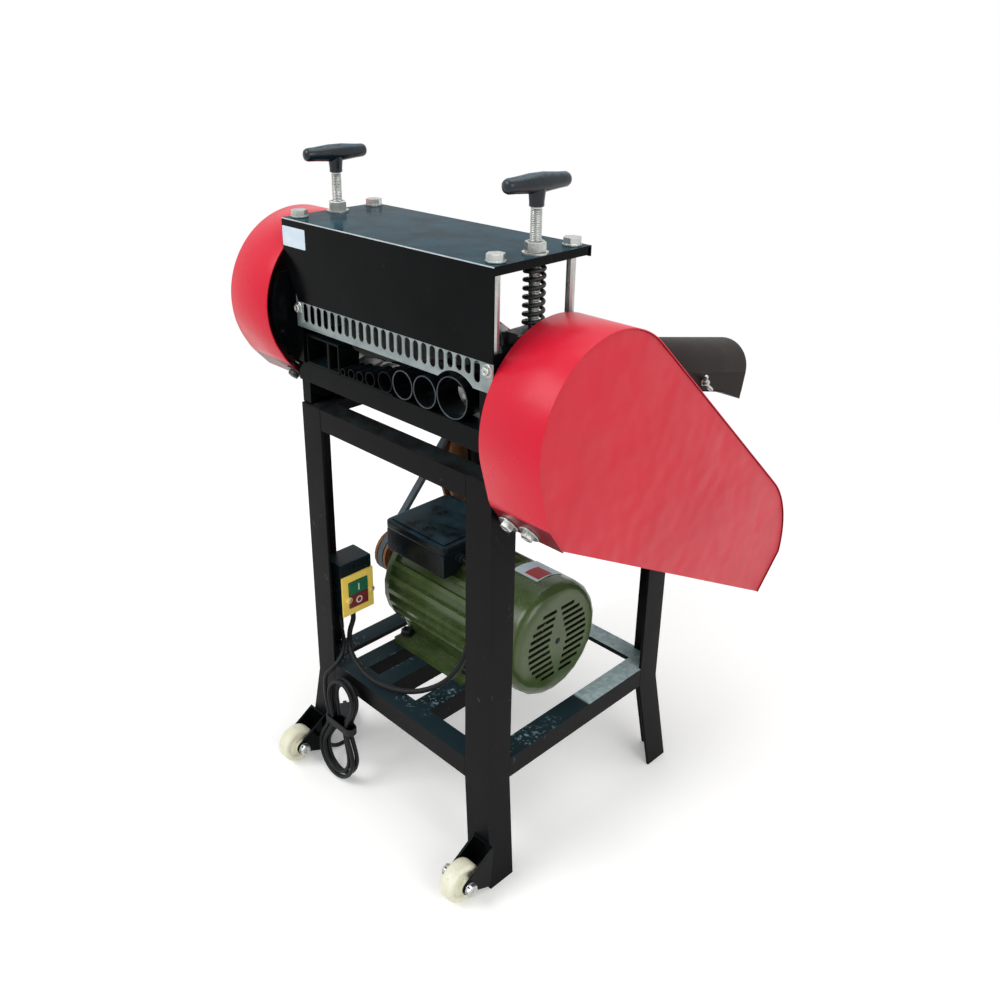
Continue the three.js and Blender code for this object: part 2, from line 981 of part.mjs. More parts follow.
function headRail(front) {
  const top = wireTable;
  const face = front ? frontY : headBack;
  const inward = front ? 1 : -1;
  const [wall0, wall1] = [face, face + inward * headRailWall].sort((a, b) => a - b);
  const [flange0, flange1] = [face, face + inward * headRailFlange].sort((a, b) => a - b);
  const wall = block(-sideX, sideX, wall0, wall1, top - headRailHeight, top);
  const inner = sideX - sideWall - seatGap;
  const flange = block(-inner, inner, flange0, flange1, top - headRailWall, top);
  return join(wall, flange);
}

// Top

function hexBolt(x, y) {
  const seat = topHeight + seatGap;
  return turnedZ(
    [
      [0, sideTop - postSeat],
      [postDiameter / 2, sideTop - postSeat],
      [postDiameter / 2, plateBottom - seatGap],
      [postThread / 2, plateBottom - seatGap],
      [postThread / 2, seat],
      [washerDiameter / 2, seat],
      [washerDiameter / 2, seat + washerWall],
      [0, seat + washerWall],
    ],
    x,
    y,
    smallSides,
  );
}

function cornerBolt(side, y) {
  const x = side * postX;
  const seat = topHeight + seatGap + washerWall;
  const head = rodZ(x, y, hexRadius(boltAcross), seat - weld, seat + boltHeadHeight, hexSides);
  return join(hexBolt(x, y), head);
}

function topHoles(radius, from, to) {
  return [-1, 1].flatMap((side) => [
    rodZ(side * postX, shaftY, screwDiameter / 2 + radius, from, to, roundSides),
    ...[postFrontY, postRearY].map((y) => rodZ(
      side * postX,
      y,
      postThread / 2 + radius,
      from,
      to,
      smallSides,
    )),
  ]);
}

function topPlate() {
  const plate = block(
    -topWidth / 2 + plateInset,
    topWidth / 2 - plateInset,
    topFront + sheetWall + seatGap,
    topFront + topDepth - sheetWall - seatGap,
    plateBottom,
    plateTop,
  );
  return cut(plate, ...topHoles(boreGap, plateBottom - overrun, plateTop + overrun));
}

// Bent sheet: flat top, deep front skirt with one tapered corner, short rear lip, and the two screw nuts welded on
function topSheet() {
  const left = -topWidth / 2;
  const right = topWidth / 2;
  const rear = topFront + topDepth;
  const flat = block(left, right, topFront, rear, topHeight - sheetWall, topHeight);
  const bottom = topHeight - skirtDrop;
  const skirt = alongY(
    shapeOf([
      point(left + skirtTaperWidth, bottom),
      point(right, bottom),
      point(right, topHeight),
      point(left, topHeight),
      point(left, topHeight - skirtTaperDrop),
    ]),
    topFront,
    topFront + sheetWall,
  );
  const lip = block(left, right, rear - sheetWall, rear, topHeight - lipDrop, topHeight);
  const nuts = [-1, 1].flatMap((side) => [
    rodZ(side * postX, shaftY, screwWasherDiameter / 2, topHeight - weld, topHeight + washerWall),
    rodZ(
      side * postX,
      shaftY,
      hexRadius(screwNutAcross),
      topHeight + washerWall - weld / 2,
      topHeight + washerWall + screwNutHeight,
      hexSides,
    ),
  ]);
  const holes = topHoles(boreGap, topHeight - sheetWall - overrun, topHeight + screwNutHeight + overrun);
  return cut(join(flat, skirt, lip, ...nuts), ...holes);
}

// Adjusting screws, handles, springs and bearing blocks

const blockTop = bladeHeight + blockHeight / 2;

function adjustingScrew(side) {
  return rodZ(
    side * postX,
    shaftY,
    screwDiameter / 2,
    blockTop + seatGap,
    hubBottom + handleBoreDepth - seatGap,
  );
}

function tHandle(side) {
  const half = handleLength / 2;
  const round = handleEndDiameter * handleRoundShare;
  const bar = new THREE.LatheGeometry(
    [
      point(0, -half),
      point(handleEndDiameter / 2 - round, -half),
      point(handleEndDiameter / 2, -half + round),
      point(handleDiameter / 2, -hubTopDiameter / 2),
      point(handleDiameter / 2, hubTopDiameter / 2),
      point(handleEndDiameter / 2, half - round),
      point(handleEndDiameter / 2 - round, half),
      point(0, half),
    ],
    smallSides,
  ).translate(0, 0, handleHeight);
  const hub = turnedZ(
    [
      [0, hubBottom],
      [hubDiameter / 2, hubBottom],
      [hubTopDiameter / 2, handleHeight],
      [0, handleHeight],
    ],
    0,
    0,
    roundSides,
  );
  const bore = rodZ(
    0,
    0,
    screwDiameter / 2 + boreGap,
    hubBottom - overrun,
    hubBottom + handleBoreDepth,
    roundSides,
  );
  const handle = cut(join(bar, hub), bore).rotateZ(radians(handleTurn));
  return handle.translate(side * postX, shaftY, 0);
}

// A helix between the bearing block and the top plate, with closed end turns
function springPoints(side) {
  const radius = (springDiameter - springWire) / 2;
  const bottom = blockTop + seatGap + springWire / 2;
  const top = plateBottom - seatGap - springWire / 2;
  const endPitch = springWire * springEndShare;
  const midPitch = (top - bottom - 2 * springEndTurns * endPitch) / (springTurns - 2 * springEndTurns);
  const steps = Math.round(springTurns * springStepsPerTurn);
  return Array.from({ length: steps + 1 }, (unused, i) => {
    const turn = i / springStepsPerTurn;
    const lower = Math.min(turn, springEndTurns);
    const upper = Math.max(turn - springTurns + springEndTurns, 0);
    const z = bottom + (lower + upper) * endPitch + (turn - lower - upper) * midPitch;
    const angle = 2 * Math.PI * turn;
    return new THREE.Vector3(side * postX + radius * Math.cos(angle), shaftY + radius * Math.sin(angle), z);
  });
}

function spring(side) {
  const points = springPoints(side);
  console.log("spring: least gap to itself", leastSelfGap(points, springWire / 2).toFixed(2), "mm");
  return sweptTube(points, springWire / 2, springSides);
}

function bearingBlock(side) {
  const half = slotWidth / 2 - seatGap;
  const thick = blockThickness / 2;
  const groove = sideWall / 2 + seatGap;
  const outline = [
    point(-thick, -half - blockGroove),
    point(-groove, -half - blockGroove),
    point(-groove, -half),
    point(groove, -half),
    point(groove, -half - blockGroove),
    point(thick, -half - blockGroove),
    point(thick, half + blockGroove),
    point(groove, half + blockGroove),
    point(groove, half),
    point(-groove, half),
    point(-groove, half + blockGroove),
    point(-thick, half + blockGroove),
  ];
  const body = alongZ(
    shapeOf(outline),
    bladeHeight - blockHeight / 2,
    blockTop,
  ).translate(side * postX, shaftY, 0);
  const bore = rodX(
    shaftY,
    bladeHeight,
    journalDiameter / 2 + boreGap,
    side * postX - thick - overrun,
    side * postX + thick + overrun,
  );
  return cut(body, bore);
}

// Cutters, feed roller and gears

function channelTop(i) {
  return wireTable + seatGap + channelHeights[i];
}

function cutterRadius(i) {
  const lowest = bladeHeight - rollerHeight - rollerDiameter / 2 - smallestCutterGap;
  const hub = journalDiameter / 2;
  return THREE.MathUtils.clamp(bladeHeight - channelTop(i) + cutterBite, hub + cutterWall, lowest);
}

function gear(axisZ, phase) {
  const outline = [];
  for (let tooth = 0; tooth < gearTeeth; tooth++) {
    const centre = phase + (360 * tooth) / gearTeeth;
    const rootHalf = THREE.MathUtils.radToDeg(Math.asin(gearRootWidth / 2 / gearRoot));
    const tipHalf = THREE.MathUtils.radToDeg(Math.asin(gearTipWidth / 2 / gearTip));
    outline.push(...arc(shaftY, axisZ, gearRoot, centre - rootHalf, centre - rootHalf, 1).slice(0, 1));
    outline.push(...arc(shaftY, axisZ, gearTip, centre - tipHalf, centre + tipHalf, 1));
    outline.push(...arc(shaftY, axisZ, gearRoot, centre + rootHalf, centre + rootHalf, 1).slice(0, 1));
  }
  const right = -postX - blockThickness / 2 - gearGap;
  return alongX(shapeOf(outline), right - gearWall, right);
}

const gearOuter = -postX - blockThickness / 2 - gearGap - gearWall;

function bladeShaft() {
  const journal = journalDiameter / 2;
  const inner = sideX - sideWall - collarWall;
  const hub = journal + cutterWall / 2;
  const profile = [
    [0, gearOuter - weld],
    [journal, gearOuter - weld],
    [journal, -inner],
    [hub, -inner],
  ];
  channelCentres.forEach((x, i) => {
    profile.push([hub, x - cutterWall / 2], [cutterRadius(i), x], [hub, x + cutterWall / 2]);
  });
  const end = postX + blockThickness / 2 + gearGap;
  profile.push([hub, inner], [journal, inner], [journal, end], [0, end]);
  return join(turnedX(profile, shaftY, bladeHeight, shaftSides), gear(bladeHeight, -90));
}

function sprocketRadius(teeth) {
  return chainPitch / 2 / Math.sin(Math.PI / teeth);
}

function feedRoller() {
  const journal = journalDiameter / 2;
  const outer = rollerDiameter / 2;
  const inner = sideX - sideWall - collarWall;
  const profile = [
    [0, gearOuter - weld],
    [journal, gearOuter - weld],
    [journal, -inner],
    [outer, -inner],
  ];
  channelCentres.forEach((x, i) => {
    const half = (channelHeights[i] * grooveWidthShare) / 2;
    const depth = channelHeights[i] * grooveShare;
    profile.push([outer, x - half], [outer - depth, x], [outer, x + half]);
  });
  const end = sprocketX + sprocketWall / 2 + collarWall;
  profile.push([outer, inner], [journal, inner], [journal, end], [0, end]);
  return join(turnedX(profile, shaftY, rollerHeight, shaftSides), gear(rollerHeight, 90 + 180 / gearTeeth));
}

// Comb plate and guide tubes

function slotOutline(x, z0, z1, width) {
  const radius = width / 2;
  return [...arc(x, z1 - radius, radius, 0, 180, 2), ...arc(x, z0 + radius, radius, 180, 360, 2)];
}

function combPlate() {
  const top = combBottom + combHeight;
  const slotBottom = combBottom + combSlotDrop;
  const slotTop = slotBottom + combSlotHeight;
  const count = combLongSlots + combShortSlots + 1;
  const slots = Array.from({ length: count }, (unused, i) => {
    const short = i >= combLongSlots && i < combLongSlots + combShortSlots;
    const bottom = short ? slotTop - combShortHeight : slotBottom;
    return slotOutline(combFirstSlot + i * combSlotPitch, bottom, slotTop, combSlotWidth);
  });
  const screws = combScrewXs.map((x) => circle(x, combBottom + combScrewRise, combScrewHole / 2, holeSides));
  const plate = alongY(
    shapeOf(rectangle(combLeft, combRight, combBottom, top), ...slots, ...screws),
    combBack - combWall,
    combBack,
  );
  const arch = rodY(
    combArchX,
    combArchHeight,
    combArchRadius,
    combBack - combWall - overrun,
    combBack + overrun,
  );
  return cut(plate, arch);
}

const guideBase = wireTable + seatGap;
const guideRear = frontY + guideLength;

function roundGuide(i) {
  const radius = channelHeights[i] / 2;
  const x = channelCentres[i];
  const z = guideBase + radius;
  return alongY(
    shapeOf(circle(x, z, radius - seatGap / 2), circle(x, z, radius - seatGap / 2 - guideWall).reverse()),
    frontY,
    guideRear,
  );
}

// The five smallest tubes on one strip
function smallGuides() {
  const first = 2;
  const last = 6;
  const left = channelCentres[first] - channelHeights[first] / 2;
  const right = channelCentres[last] + channelHeights[last] / 2;
  const strip = block(left, right, frontY, guideRear, guideBase, guideBase + guideStrip);
  const bores = [];
  const walls = [];
  for (let i = first; i <= last; i++) {
    const radius = channelHeights[i] / 2;
    walls.push(rodY(channelCentres[i], guideBase + radius, radius, frontY, guideRear, smallSides));
    bores.push(
      rodY(
        channelCentres[i],
        guideBase + radius,
        radius - guideWall,
        frontY - overrun,
        guideRear + overrun,
        smallSides,
      ),
    );
  }
  return cut(join(strip, ...walls), ...bores);
}

// Two box guides side by side, sharing a wall
function boxGuides() {
  const height = channelHeights[0];
  const outer = [];
  const bores = [];
  boxGuideWidths.forEach((width, i) => {
    const left = channelCentres[i] - width / 2;
    const right = channelCentres[i] + width / 2;
    outer.push(block(left - weld, right, frontY, guideRear, guideBase, guideBase + height));
    bores.push(
      block(
        left + boxGuideWall / 2,
        right - boxGuideWall,
        frontY - overrun,
        guideRear + overrun,
        guideBase + boxGuideWall,
        guideBase + height - boxGuideWall,
      ),
    );
  });
  return cut(join(...outer), ...bores);
}

// Guards

function guardSizes(side) {
  if (side > 0) {
    return {
      headY: guardHeadY,
      headZ: guardHeadZ,
      headRadius: guardHeadRadius,
      creaseY: guardCreaseY,
      creaseZ: guardCreaseZ,
      footY: guardFootY,
      footZ: guardFootZ,
      tailY: guardTailY,
      tailZ: guardTailZ,
      tailRadius: guardTailRadius,
      tailEnd: guardTailEnd,
      heelY: guardHeelY,
      heelZ: guardHeelZ,
    };
  }
  return {
    headY: leftHeadY,
    headZ: leftHeadZ,
    headRadius: leftHeadRadius,
    creaseY: -standDepth / 2 - leftCreaseNose,
    creaseZ: standHeight + leftCreaseRise,
    footY: leftFootBack - standDepth / 2,
    footZ: standHeight + leftFootRise,
    tailY: crossShaftY,
    tailZ: crossShaftZ,
    tailRadius: leftTailRadius,
    tailEnd: leftTailEnd,
    heelY: crossShaftY + leftTailRadius * Math.cos(radians(leftTailEnd)),
    heelZ: crossShaftZ + leftTailRadius * Math.sin(radians(leftTailEnd)) - leftHeelDrop,
  };
}

// Angle at the head's centre where its arc ends in the straight top flank
function guardFlankAngle(side) {
  const g = guardSizes(side);
  const span = Math.hypot(g.tailY - g.headY, g.tailZ - g.headZ);
  return Math.atan2(g.tailZ - g.headZ, g.tailY - g.headY) + Math.acos((g.headRadius - g.tailRadius) / span);
}

// Angle at the head's centre where its arc starts, at the straight line up from the crease
function guardFrontAngle(side) {
  const g = guardSizes(side);
  const span = Math.hypot(g.creaseY - g.headY, g.creaseZ - g.headZ);
  return Math.atan2(g.creaseZ - g.headZ, g.creaseY - g.headY) + 2 * Math.PI - Math.acos(g.headRadius / span);
}

// The crease, drawn in by an inset from the flange below it and from the front above it
function guardCrease(side, inset) {
  const g = guardSizes(side);
  const below = guardFlange(side).inward;
  const front = guardFrontAngle(side);
  const above = point(-Math.cos(front), -Math.sin(front));
  const mitre = inset / (1 + below.dot(above));
  return point(g.creaseY, g.creaseZ).addScaledVector(below.clone().add(above), mitre);
}

function guardFlange(side) {
  const g = guardSizes(side);
  const along = point(g.footY - g.creaseY, g.footZ - g.creaseZ).normalize();
  return { along, inward: point(-along.y, along.x) };
}

// Flange, crease, front, head arc, straight top flank, tail arc and straight open bottom.
// The inset outline runs on below the bottom, so that it leaves the guard open there.
function guardOutline(side, inset) {
  const g = guardSizes(side);
  const flange = guardFlange(side);
  const front = THREE.MathUtils.radToDeg(guardFrontAngle(side));
  const flank = THREE.MathUtils.radToDeg(guardFlankAngle(side));
  const heel = point(g.heelY, g.heelZ);
  const foot = point(g.footY, g.footZ).addScaledVector(flange.inward, inset);
  const head = arc(g.headY, g.headZ, g.headRadius - inset, front, flank, fineSides / 2);
  const tail = arc(g.tailY, g.tailZ, g.tailRadius - inset, flank, g.tailEnd, fineSides / 2);
  const rim = [guardCrease(side, inset), ...head, ...tail];
  if (!inset) return [foot, ...rim, heel];
  const heelLine = heel.clone().sub(point(g.tailY, g.tailZ)).normalize();
  const beyond = heel.clone().addScaledVector(heelLine, guardLugWidth);
  return [
    foot.clone().addScaledVector(flange.along, 2 * guardLugWidth),
    ...rim,
    heel.clone().add(point(-inset, inset)),
    beyond.clone().add(point(-guardLugWidth, 0)),
  ];
}

function guardFlankHeight(side, y) {
  const g = guardSizes(side);
  const angle = guardFlankAngle(side);
  const startY = g.headY + g.headRadius * Math.cos(angle);
  const startZ = g.headZ + g.headRadius * Math.sin(angle);
  return startZ - (y - startY) / Math.tan(angle);
}

function guardHoles(side, from, to) {
  const g = guardSizes(side);
  const inward = guardFlange(side).inward;
  const middle = point(g.footY, g.footZ).add(point(g.creaseY, g.creaseZ)).multiplyScalar(0.5);
  const inner = side > 0 ? rightGuardInner : leftGuardInner;
  return guardBoltShares.map((share) => {
    const hole = new THREE.CylinderGeometry(guardBolt / 2, guardBolt / 2, to - from, smallSides);
    hole.translate(0, (from + to) / 2, 0);
    const along = new THREE.Vector3(0, inward.x, inward.y);
    hole.applyQuaternion(new THREE.Quaternion().setFromUnitVectors(new THREE.Vector3(0, 1, 0), along));
    return hole.translate(THREE.MathUtils.lerp(inner, side * guardReach, share), middle.x, middle.y);
  });
}

function guard(side) {
  const inner = side > 0 ? rightGuardInner : leftGuardInner;
  const low = Math.min(inner, side * guardReach);
  const high = Math.max(inner, side * guardReach);
  const shell = alongX(shapeOf(guardOutline(side, 0)), low, high);
  const hollowFrom = side > 0 ? low - overrun : low + guardWall;
  const hollowTo = side > 0 ? high - guardWall : high + overrun;
  const hollow = alongX(shapeOf(guardOutline(side, guardWall)), hollowFrom, hollowTo);
  return cut(join(cut(shell, hollow), ...guardLugs(side)), ...guardHoles(side, -overrun, overrun));
}

// A strip inside the rim's edge, and a pad on it that reaches in to what carries the guard
function guardLug(side, y0, y1, z0, z1, padZ0, padZ1) {
  const face = side * (sideX + seatGap);
  const edge = side > 0 ? rightGuardInner : leftGuardInner;
  const outer = edge + side * guardWall;
  const strip = block(Math.min(edge, outer), Math.max(edge, outer), y0, y1, z0, z1);
  if (padZ0 === undefined) return [strip];
  return [strip, block(Math.min(face, outer), Math.max(face, outer), y0, y1, padZ0, padZ1)];
}

// Lugs against the rear leg, and against the side plate or the round back plate
function guardLugs(side) {
  const g = guardSizes(side);
  const half = guardLugWidth / 2;
  const legY = rearY - legFlange / 2;
  const high = guardFlankHeight(side, legY + half) - guardWall / 2;
  const low = Math.min(standHeight - legFlange, high - 2 * guardLugWidth);
  const rear = guardLug(side, legY - half, legY + half, low, high, low, low + guardLugWidth);
  if (side > 0) {
    const top = g.headZ + Math.sqrt(g.headRadius ** 2 - (postRearY - half - g.headY) ** 2) - guardWall / 2;
    const seat = sideTop - 2 * guardLugWidth;
    return [...rear, ...guardLug(
      side,
      postRearY - half,
      postRearY + half,
      seat,
      top,
      seat,
      seat + guardLugWidth,
    )];
  }
  const front = g.headY - g.headRadius + guardWall / 2;
  return [...rear, ...guardLug(side, front, front + guardLugWidth, g.headZ - half, g.headZ + half)];
}

// The tab behind a guard's flange, welded to the leg or the side plate that carries it
function guardTab(side) {
  const g = guardSizes(side);
  const { along, inward } = guardFlange(side);
  const near = guardWall + seatGap;
  const length = Math.hypot(g.footY - g.creaseY, g.footZ - g.creaseZ) * (side > 0 ? 1 : leftTabShare);
  const top = point(g.creaseY, g.creaseZ).addScaledVector(inward, near).addScaledVector(along, guardBolt / 2);
  const bottom = top.clone().addScaledVector(along, length - guardBolt / 2);
  const outline = [
    top,
    bottom,
    bottom.clone().addScaledVector(inward, guardTabWall),
    top.clone().addScaledVector(inward, guardTabWall),
  ];
  const root = side > 0 ? sideX - legWall / 2 : -sideX;
  const tip = side * (sideX + guardTabReach);
  return alongX(shapeOf(outline), Math.min(root, tip), Math.max(root, tip));
}

function guardTabCut(geometry, side) {
  return cut(geometry, ...guardHoles(side, -overrun, guardLugWidth));
}

// Rear cross shaft, pulleys, sprockets, chain and belt

function bearingBracket(side) {
  const rim = arc(crossShaftY, crossShaftZ, bearingRadius, bearingRimFrom, bearingRimTo, smallSides);
  const front = rearY - bearingPlateLap;
  const outline = [
    point(front, crossShaftZ - bearingPlateDrop),
    point(front, crossShaftZ + bearingPlateRise),
    ...rim,
  ];
  const near = side * (sideX + seatGap);
  const far = near + side * bearingPlateWall;
  const bossFar = far + side * bearingBoss;
  const plate = alongX(shapeOf(outline.reverse()), Math.min(near, far), Math.max(near, far));
  const boss = rodX(
    crossShaftY,
    crossShaftZ,
    bearingRadius - bearingBoss,
    Math.min(near, bossFar),
    Math.max(near, bossFar),
  );
  const bore = rodX(
    crossShaftY,
    crossShaftZ,
    crossShaftDiameter / 2 + boreGap,
    Math.min(near, bossFar) - overrun,
    Math.max(near, bossFar) + overrun,
  );
  return cut(join(plate, boss), bore);
}

function sprocket(y, z, teeth, bore) {
  const pitchRadius = sprocketRadius(teeth);
  const step = 360 / teeth;
  const tip = pitchRadius + chainPitch * toothTipShare;
  const root = pitchRadius - chainPitch * toothRootShare;
  const flank = step * toothFlankShare;
  const crest = step * toothTipWidthShare;
  const outline = [];
  for (let tooth = 0; tooth < teeth; tooth++) {
    const centre = tooth * step;
    const top = centre + step / 2;
    outline.push(...arc(y, z, root, centre - flank, centre + flank, 1));
    outline.push(...arc(y, z, tip, top - crest, top + crest, 1));
  }
  const disc = alongX(shapeOf(outline), sprocketX - sprocketWall / 2, sprocketX + sprocketWall / 2);
  if (!bore) return disc;
  return cut(disc, rodX(y, z, bore, sprocketX - sprocketWall - overrun, sprocketX + sprocketWall + overrun));
}

function tipRadius(teeth) {
  return sprocketRadius(teeth) + chainPitch * toothTipShare;
}

// A closed loop round two circles, as an outline
function loopOutline(y0, z0, r0, y1, z1, r1, steps) {
  const span = Math.hypot(y1 - y0, z1 - z0);
  const line = THREE.MathUtils.radToDeg(Math.atan2(z1 - z0, y1 - y0));
  const open = THREE.MathUtils.radToDeg(Math.acos((r0 - r1) / span));
  return [
    ...arc(y0, z0, r0, line + open, line + 360 - open, steps),
    ...arc(y1, z1, r1, line - open, line + open, steps),
  ];
}

function chainLoop() {
  const r0 = tipRadius(sprocketTeeth) + chainTipGap;
  const r1 = tipRadius(smallSprocketTeeth) + chainTipGap;
  const inner = loopOutline(shaftY, rollerHeight, r0, crossShaftY, crossShaftZ, r1, roundSides);
  const outer = loopOutline(
    shaftY,
    rollerHeight,
    r0 + chainHeight,
    crossShaftY,
    crossShaftZ,
    r1 + chainHeight,
    roundSides,
  );
  return alongX(shapeOf(outer, inner.reverse()), sprocketX - chainWidth / 2, sprocketX + chainWidth / 2);
}

function crossShaft() {
  const shaft = rodX(
    crossShaftY,
    crossShaftZ,
    crossShaftDiameter / 2,
    beltPlane - pulleyWidth / 2 - collarWall,
    sprocketX + sprocketWall / 2 + collarWall,
  );
  return join(shaft, sprocket(crossShaftY, crossShaftZ, smallSprocketTeeth, 0));
}

// Grooved rim, thin web and hub, with a bore; the groove's floor is deeper than the belt
function pulley(y, z, radius, bore, webbed) {
  const half = pulleyWidth / 2;
  const grooveTop = beltWidth / 2 + boreGap;
  const grooveDepth = beltDepth + beltRise;
  const grooveBottom = grooveTop - grooveDepth * Math.tan(radians(grooveAngle));
  const rim = radius - grooveDepth - pulleyRim / 2;
  const web = pulleyWeb / 2;
  const face = webbed
    ? [
        [bore, -half],
        [pulleyHub, -half],
        [pulleyHub, -web],
        [rim, -web],
        [rim, -half],
      ]
    : [[bore, -half]];
  const groove = [
    [radius, -half],
    [radius, -grooveTop],
    [radius - grooveDepth, -grooveBottom],
  ];
  const halfProfile = [...face, ...groove];
  const mirrored = halfProfile.map(([r, x]) => [r, -x]).reverse();
  const profile = [...halfProfile, ...mirrored, halfProfile[0]].map(([r, x]) => [r, x + beltPlane]);
  return turnedX(profile, y, z, fineSides);
}

// Trapezoid belt: the wide outer part and the narrower inner part, as two loops in one
function vBelt() {
  const outerMotor = motorPulleyRadius - seatGap;
  const outerBig = bigPulleyRadius - seatGap;
  const layers = 2;
  const slices = [];
  for (let i = 0; i < layers; i++) {
    const depth0 = (beltDepth * i) / layers;
    const depth1 = (beltDepth * (i + 1)) / layers;
    const half = beltWidth / 2 - depth1 * Math.tan(radians(grooveAngle)) - seatGap;
    const outer = loopOutline(
      motorY,
      motorZ,
      outerMotor - depth0 + (i ? seatGap : 0),
      crossShaftY,
      crossShaftZ,
      outerBig - depth0 + (i ? seatGap : 0),
      roundSides,
    );
    const inner = loopOutline(
      motorY,
      motorZ,
      outerMotor - depth1,
      crossShaftY,
      crossShaftZ,
      outerBig - depth1,
      roundSides,
    );
    slices.push(alongX(shapeOf(outer, inner.reverse()), beltPlane - half, beltPlane + half));
  }
  return join(...slices);
}

// Motor

function finnedOutline() {
  const outline = [];
  const step = 360 / finCount;
  for (let i = 0; i < finCount; i++) {
    const centre = i * step;
    const half = (step * finShare) / 2;
    outline.push(...arc(motorY, motorZ, housingRadius, centre - step / 2, centre - half, 1));
    outline.push(...arc(
      motorY,
      motorZ,
      housingRadius + finHeight,
      centre - half * finTipShare,
      centre + half * finTipShare,
      1,
    ));
    outline.push(...arc(motorY, motorZ, housingRadius, centre + half, centre + half, 1).slice(0, 1));
  }
  return outline;
}

function motorHousing() {
  const stator = alongX(shapeOf(finnedOutline()), housingLeft, housingRight);
  const shield = turnedX(
    [
      [0, housingLeft - shieldLength],
      [shieldBoss - shieldNose, housingLeft - shieldLength],
      [shieldBoss, housingLeft - shieldLength + shieldNoseDepth],
      [shieldBoss + shieldFlare, housingLeft - shieldLength / 2],
      [shieldRadius - shieldCrown, housingLeft - shieldLength / 2 + shieldCrownDepth],
      [shieldRadius, housingLeft - shieldRim],
      [shieldRadius, housingLeft + weld],
      [0, housingLeft + weld],
    ],
    motorY,
    motorZ,
    fineSides,
  );
  const footLeft = footFrontX - (footLength - footSpacingX) / 2;
  const base = shelfHeight + seatGap;
  const [outerShare, outerDropShare, innerShare, innerDropShare] = footWebShares;
  const feet = [-1, 1].flatMap((side) => {
    const outer = motorY + (side * footWidth) / 2;
    const inner = outer - side * footPad;
    const pad = block(
      footLeft,
      footLeft + footLength,
      Math.min(outer, inner),
      Math.max(outer, inner),
      base,
      base + footWall,
    );
    const web = alongX(
      shapeOf([
        point(inner - side * footPad, base),
        point(inner + side * footWebToe, base),
        point(motorY + side * housingRadius * outerShare, motorZ - housingRadius * outerDropShare),
        point(motorY + side * housingRadius * innerShare, motorZ - housingRadius * innerDropShare),
      ]),
      footLeft,
      footLeft + footLength,
    );
    return [pad, web];
  });
  const holes = [footFrontX, footFrontX + footSpacingX].flatMap((x) =>
    [-1, 1].map((side) =>
      rodZ(
        x,
        motorY + (side * footSpacingY) / 2,
        footBoltHole / 2,
        base - overrun,
        base + footPad,
        smallSides,
      ),
    ),
  );
  const bore = rodX(
    motorY,
    motorZ,
    motorShaftDiameter / 2 + boreGap,
    housingLeft - shieldLength - overrun,
    housingRight + overrun,
  );
  return cut(join(stator, shield, ...feet, ...fanLugs()), bore, ...holes);
}

// Lugs on the housing's end, inside the fan cover, that carry it
function fanLugs() {
  return Array.from({ length: fanLugCount }, (unused, i) => {
    const outer = fanCoverRadius - fanCoverWall - fanLugGap;
    const lug = block(
      -weld,
      fanLugLength,
      housingRadius - 2 * weld,
      outer,
      -fanLugWidth / 2,
      fanLugWidth / 2,
    );
    lug.rotateX((2 * Math.PI * (i + 0.5)) / fanLugCount);
    return lug.translate(housingRight, motorY, motorZ);
  });
}

function motorShaft() {
  const fanLeft = housingRight + fanWall;
  const shaft = rodX(motorY, motorZ, motorShaftDiameter / 2, motorShaftEnd, fanLeft + fanWall + fanBlade);
  const disc = rodX(motorY, motorZ, fanRadius, fanLeft, fanLeft + fanWall, fineSides);
  const blades = Array.from({ length: fanBlades }, (unused, i) => {
    const blade = block(0, fanBlade + weld, fanHub / 2, fanRadius - fanWall, -fanWall / 2, fanWall / 2);
    blade.rotateX((2 * Math.PI * i) / fanBlades);
    return blade.translate(fanLeft + fanWall - weld, motorY, motorZ);
  });
  return join(shaft, disc, ...blades);
}

function fanCover() {
  const left = housingRight + seatGap;
  const right = fanCoverRight;
  const wall = fanCoverWall;
  const round = fanCoverRound;
  const outer = fanCoverRadius;
  const corner = (inset) =>
    arc(outer - round, right - round, round - inset, 0, 90, 4).map((p) => [p.x, p.y]);
  const profile = [
    [outer - wall, left],
    [outer, left],
    ...corner(0),
    [0, right],
    [0, right - wall],
    ...corner(wall).reverse(),
    [outer - wall, left],
  ];
  const shell = turnedX(profile, motorY, motorZ, fineSides);
  const slots = [];
  const rows = Math.floor(grilleRadius / grillePitch);
  for (let row = -rows; row <= rows; row++) {
    const z = row * grillePitch;
    const reach = Math.sqrt(grilleRadius ** 2 - z ** 2);
    const from = grilleBand + grilleDiamond * (1 - Math.abs(row) / rows);
    if (reach - from < grillePitch) continue;
    [-1, 1].forEach((side) => {
      const [y0, y1] = [side * from, side * reach].sort((a, b) => a - b);
      slots.push(
        block(
          right - wall - overrun,
          right + overrun,
          motorY + y0,
          motorY + y1,
          motorZ + z - grilleSlot / 2,
          motorZ + z + grilleSlot / 2,
        ),
      );
    });
  }
  const centre = rodX(motorY, motorZ, grilleCentre / 2, right - wall - overrun, right + overrun, smallSides);
  return cut(shell, centre, ...slots);
}

const terminalBoxRight = terminalBoxLeft + terminalBoxLength;
const terminalBoxRear = terminalBoxFront + terminalBoxDepth;
const lidBottom = terminalLidTop - terminalLidHeight;

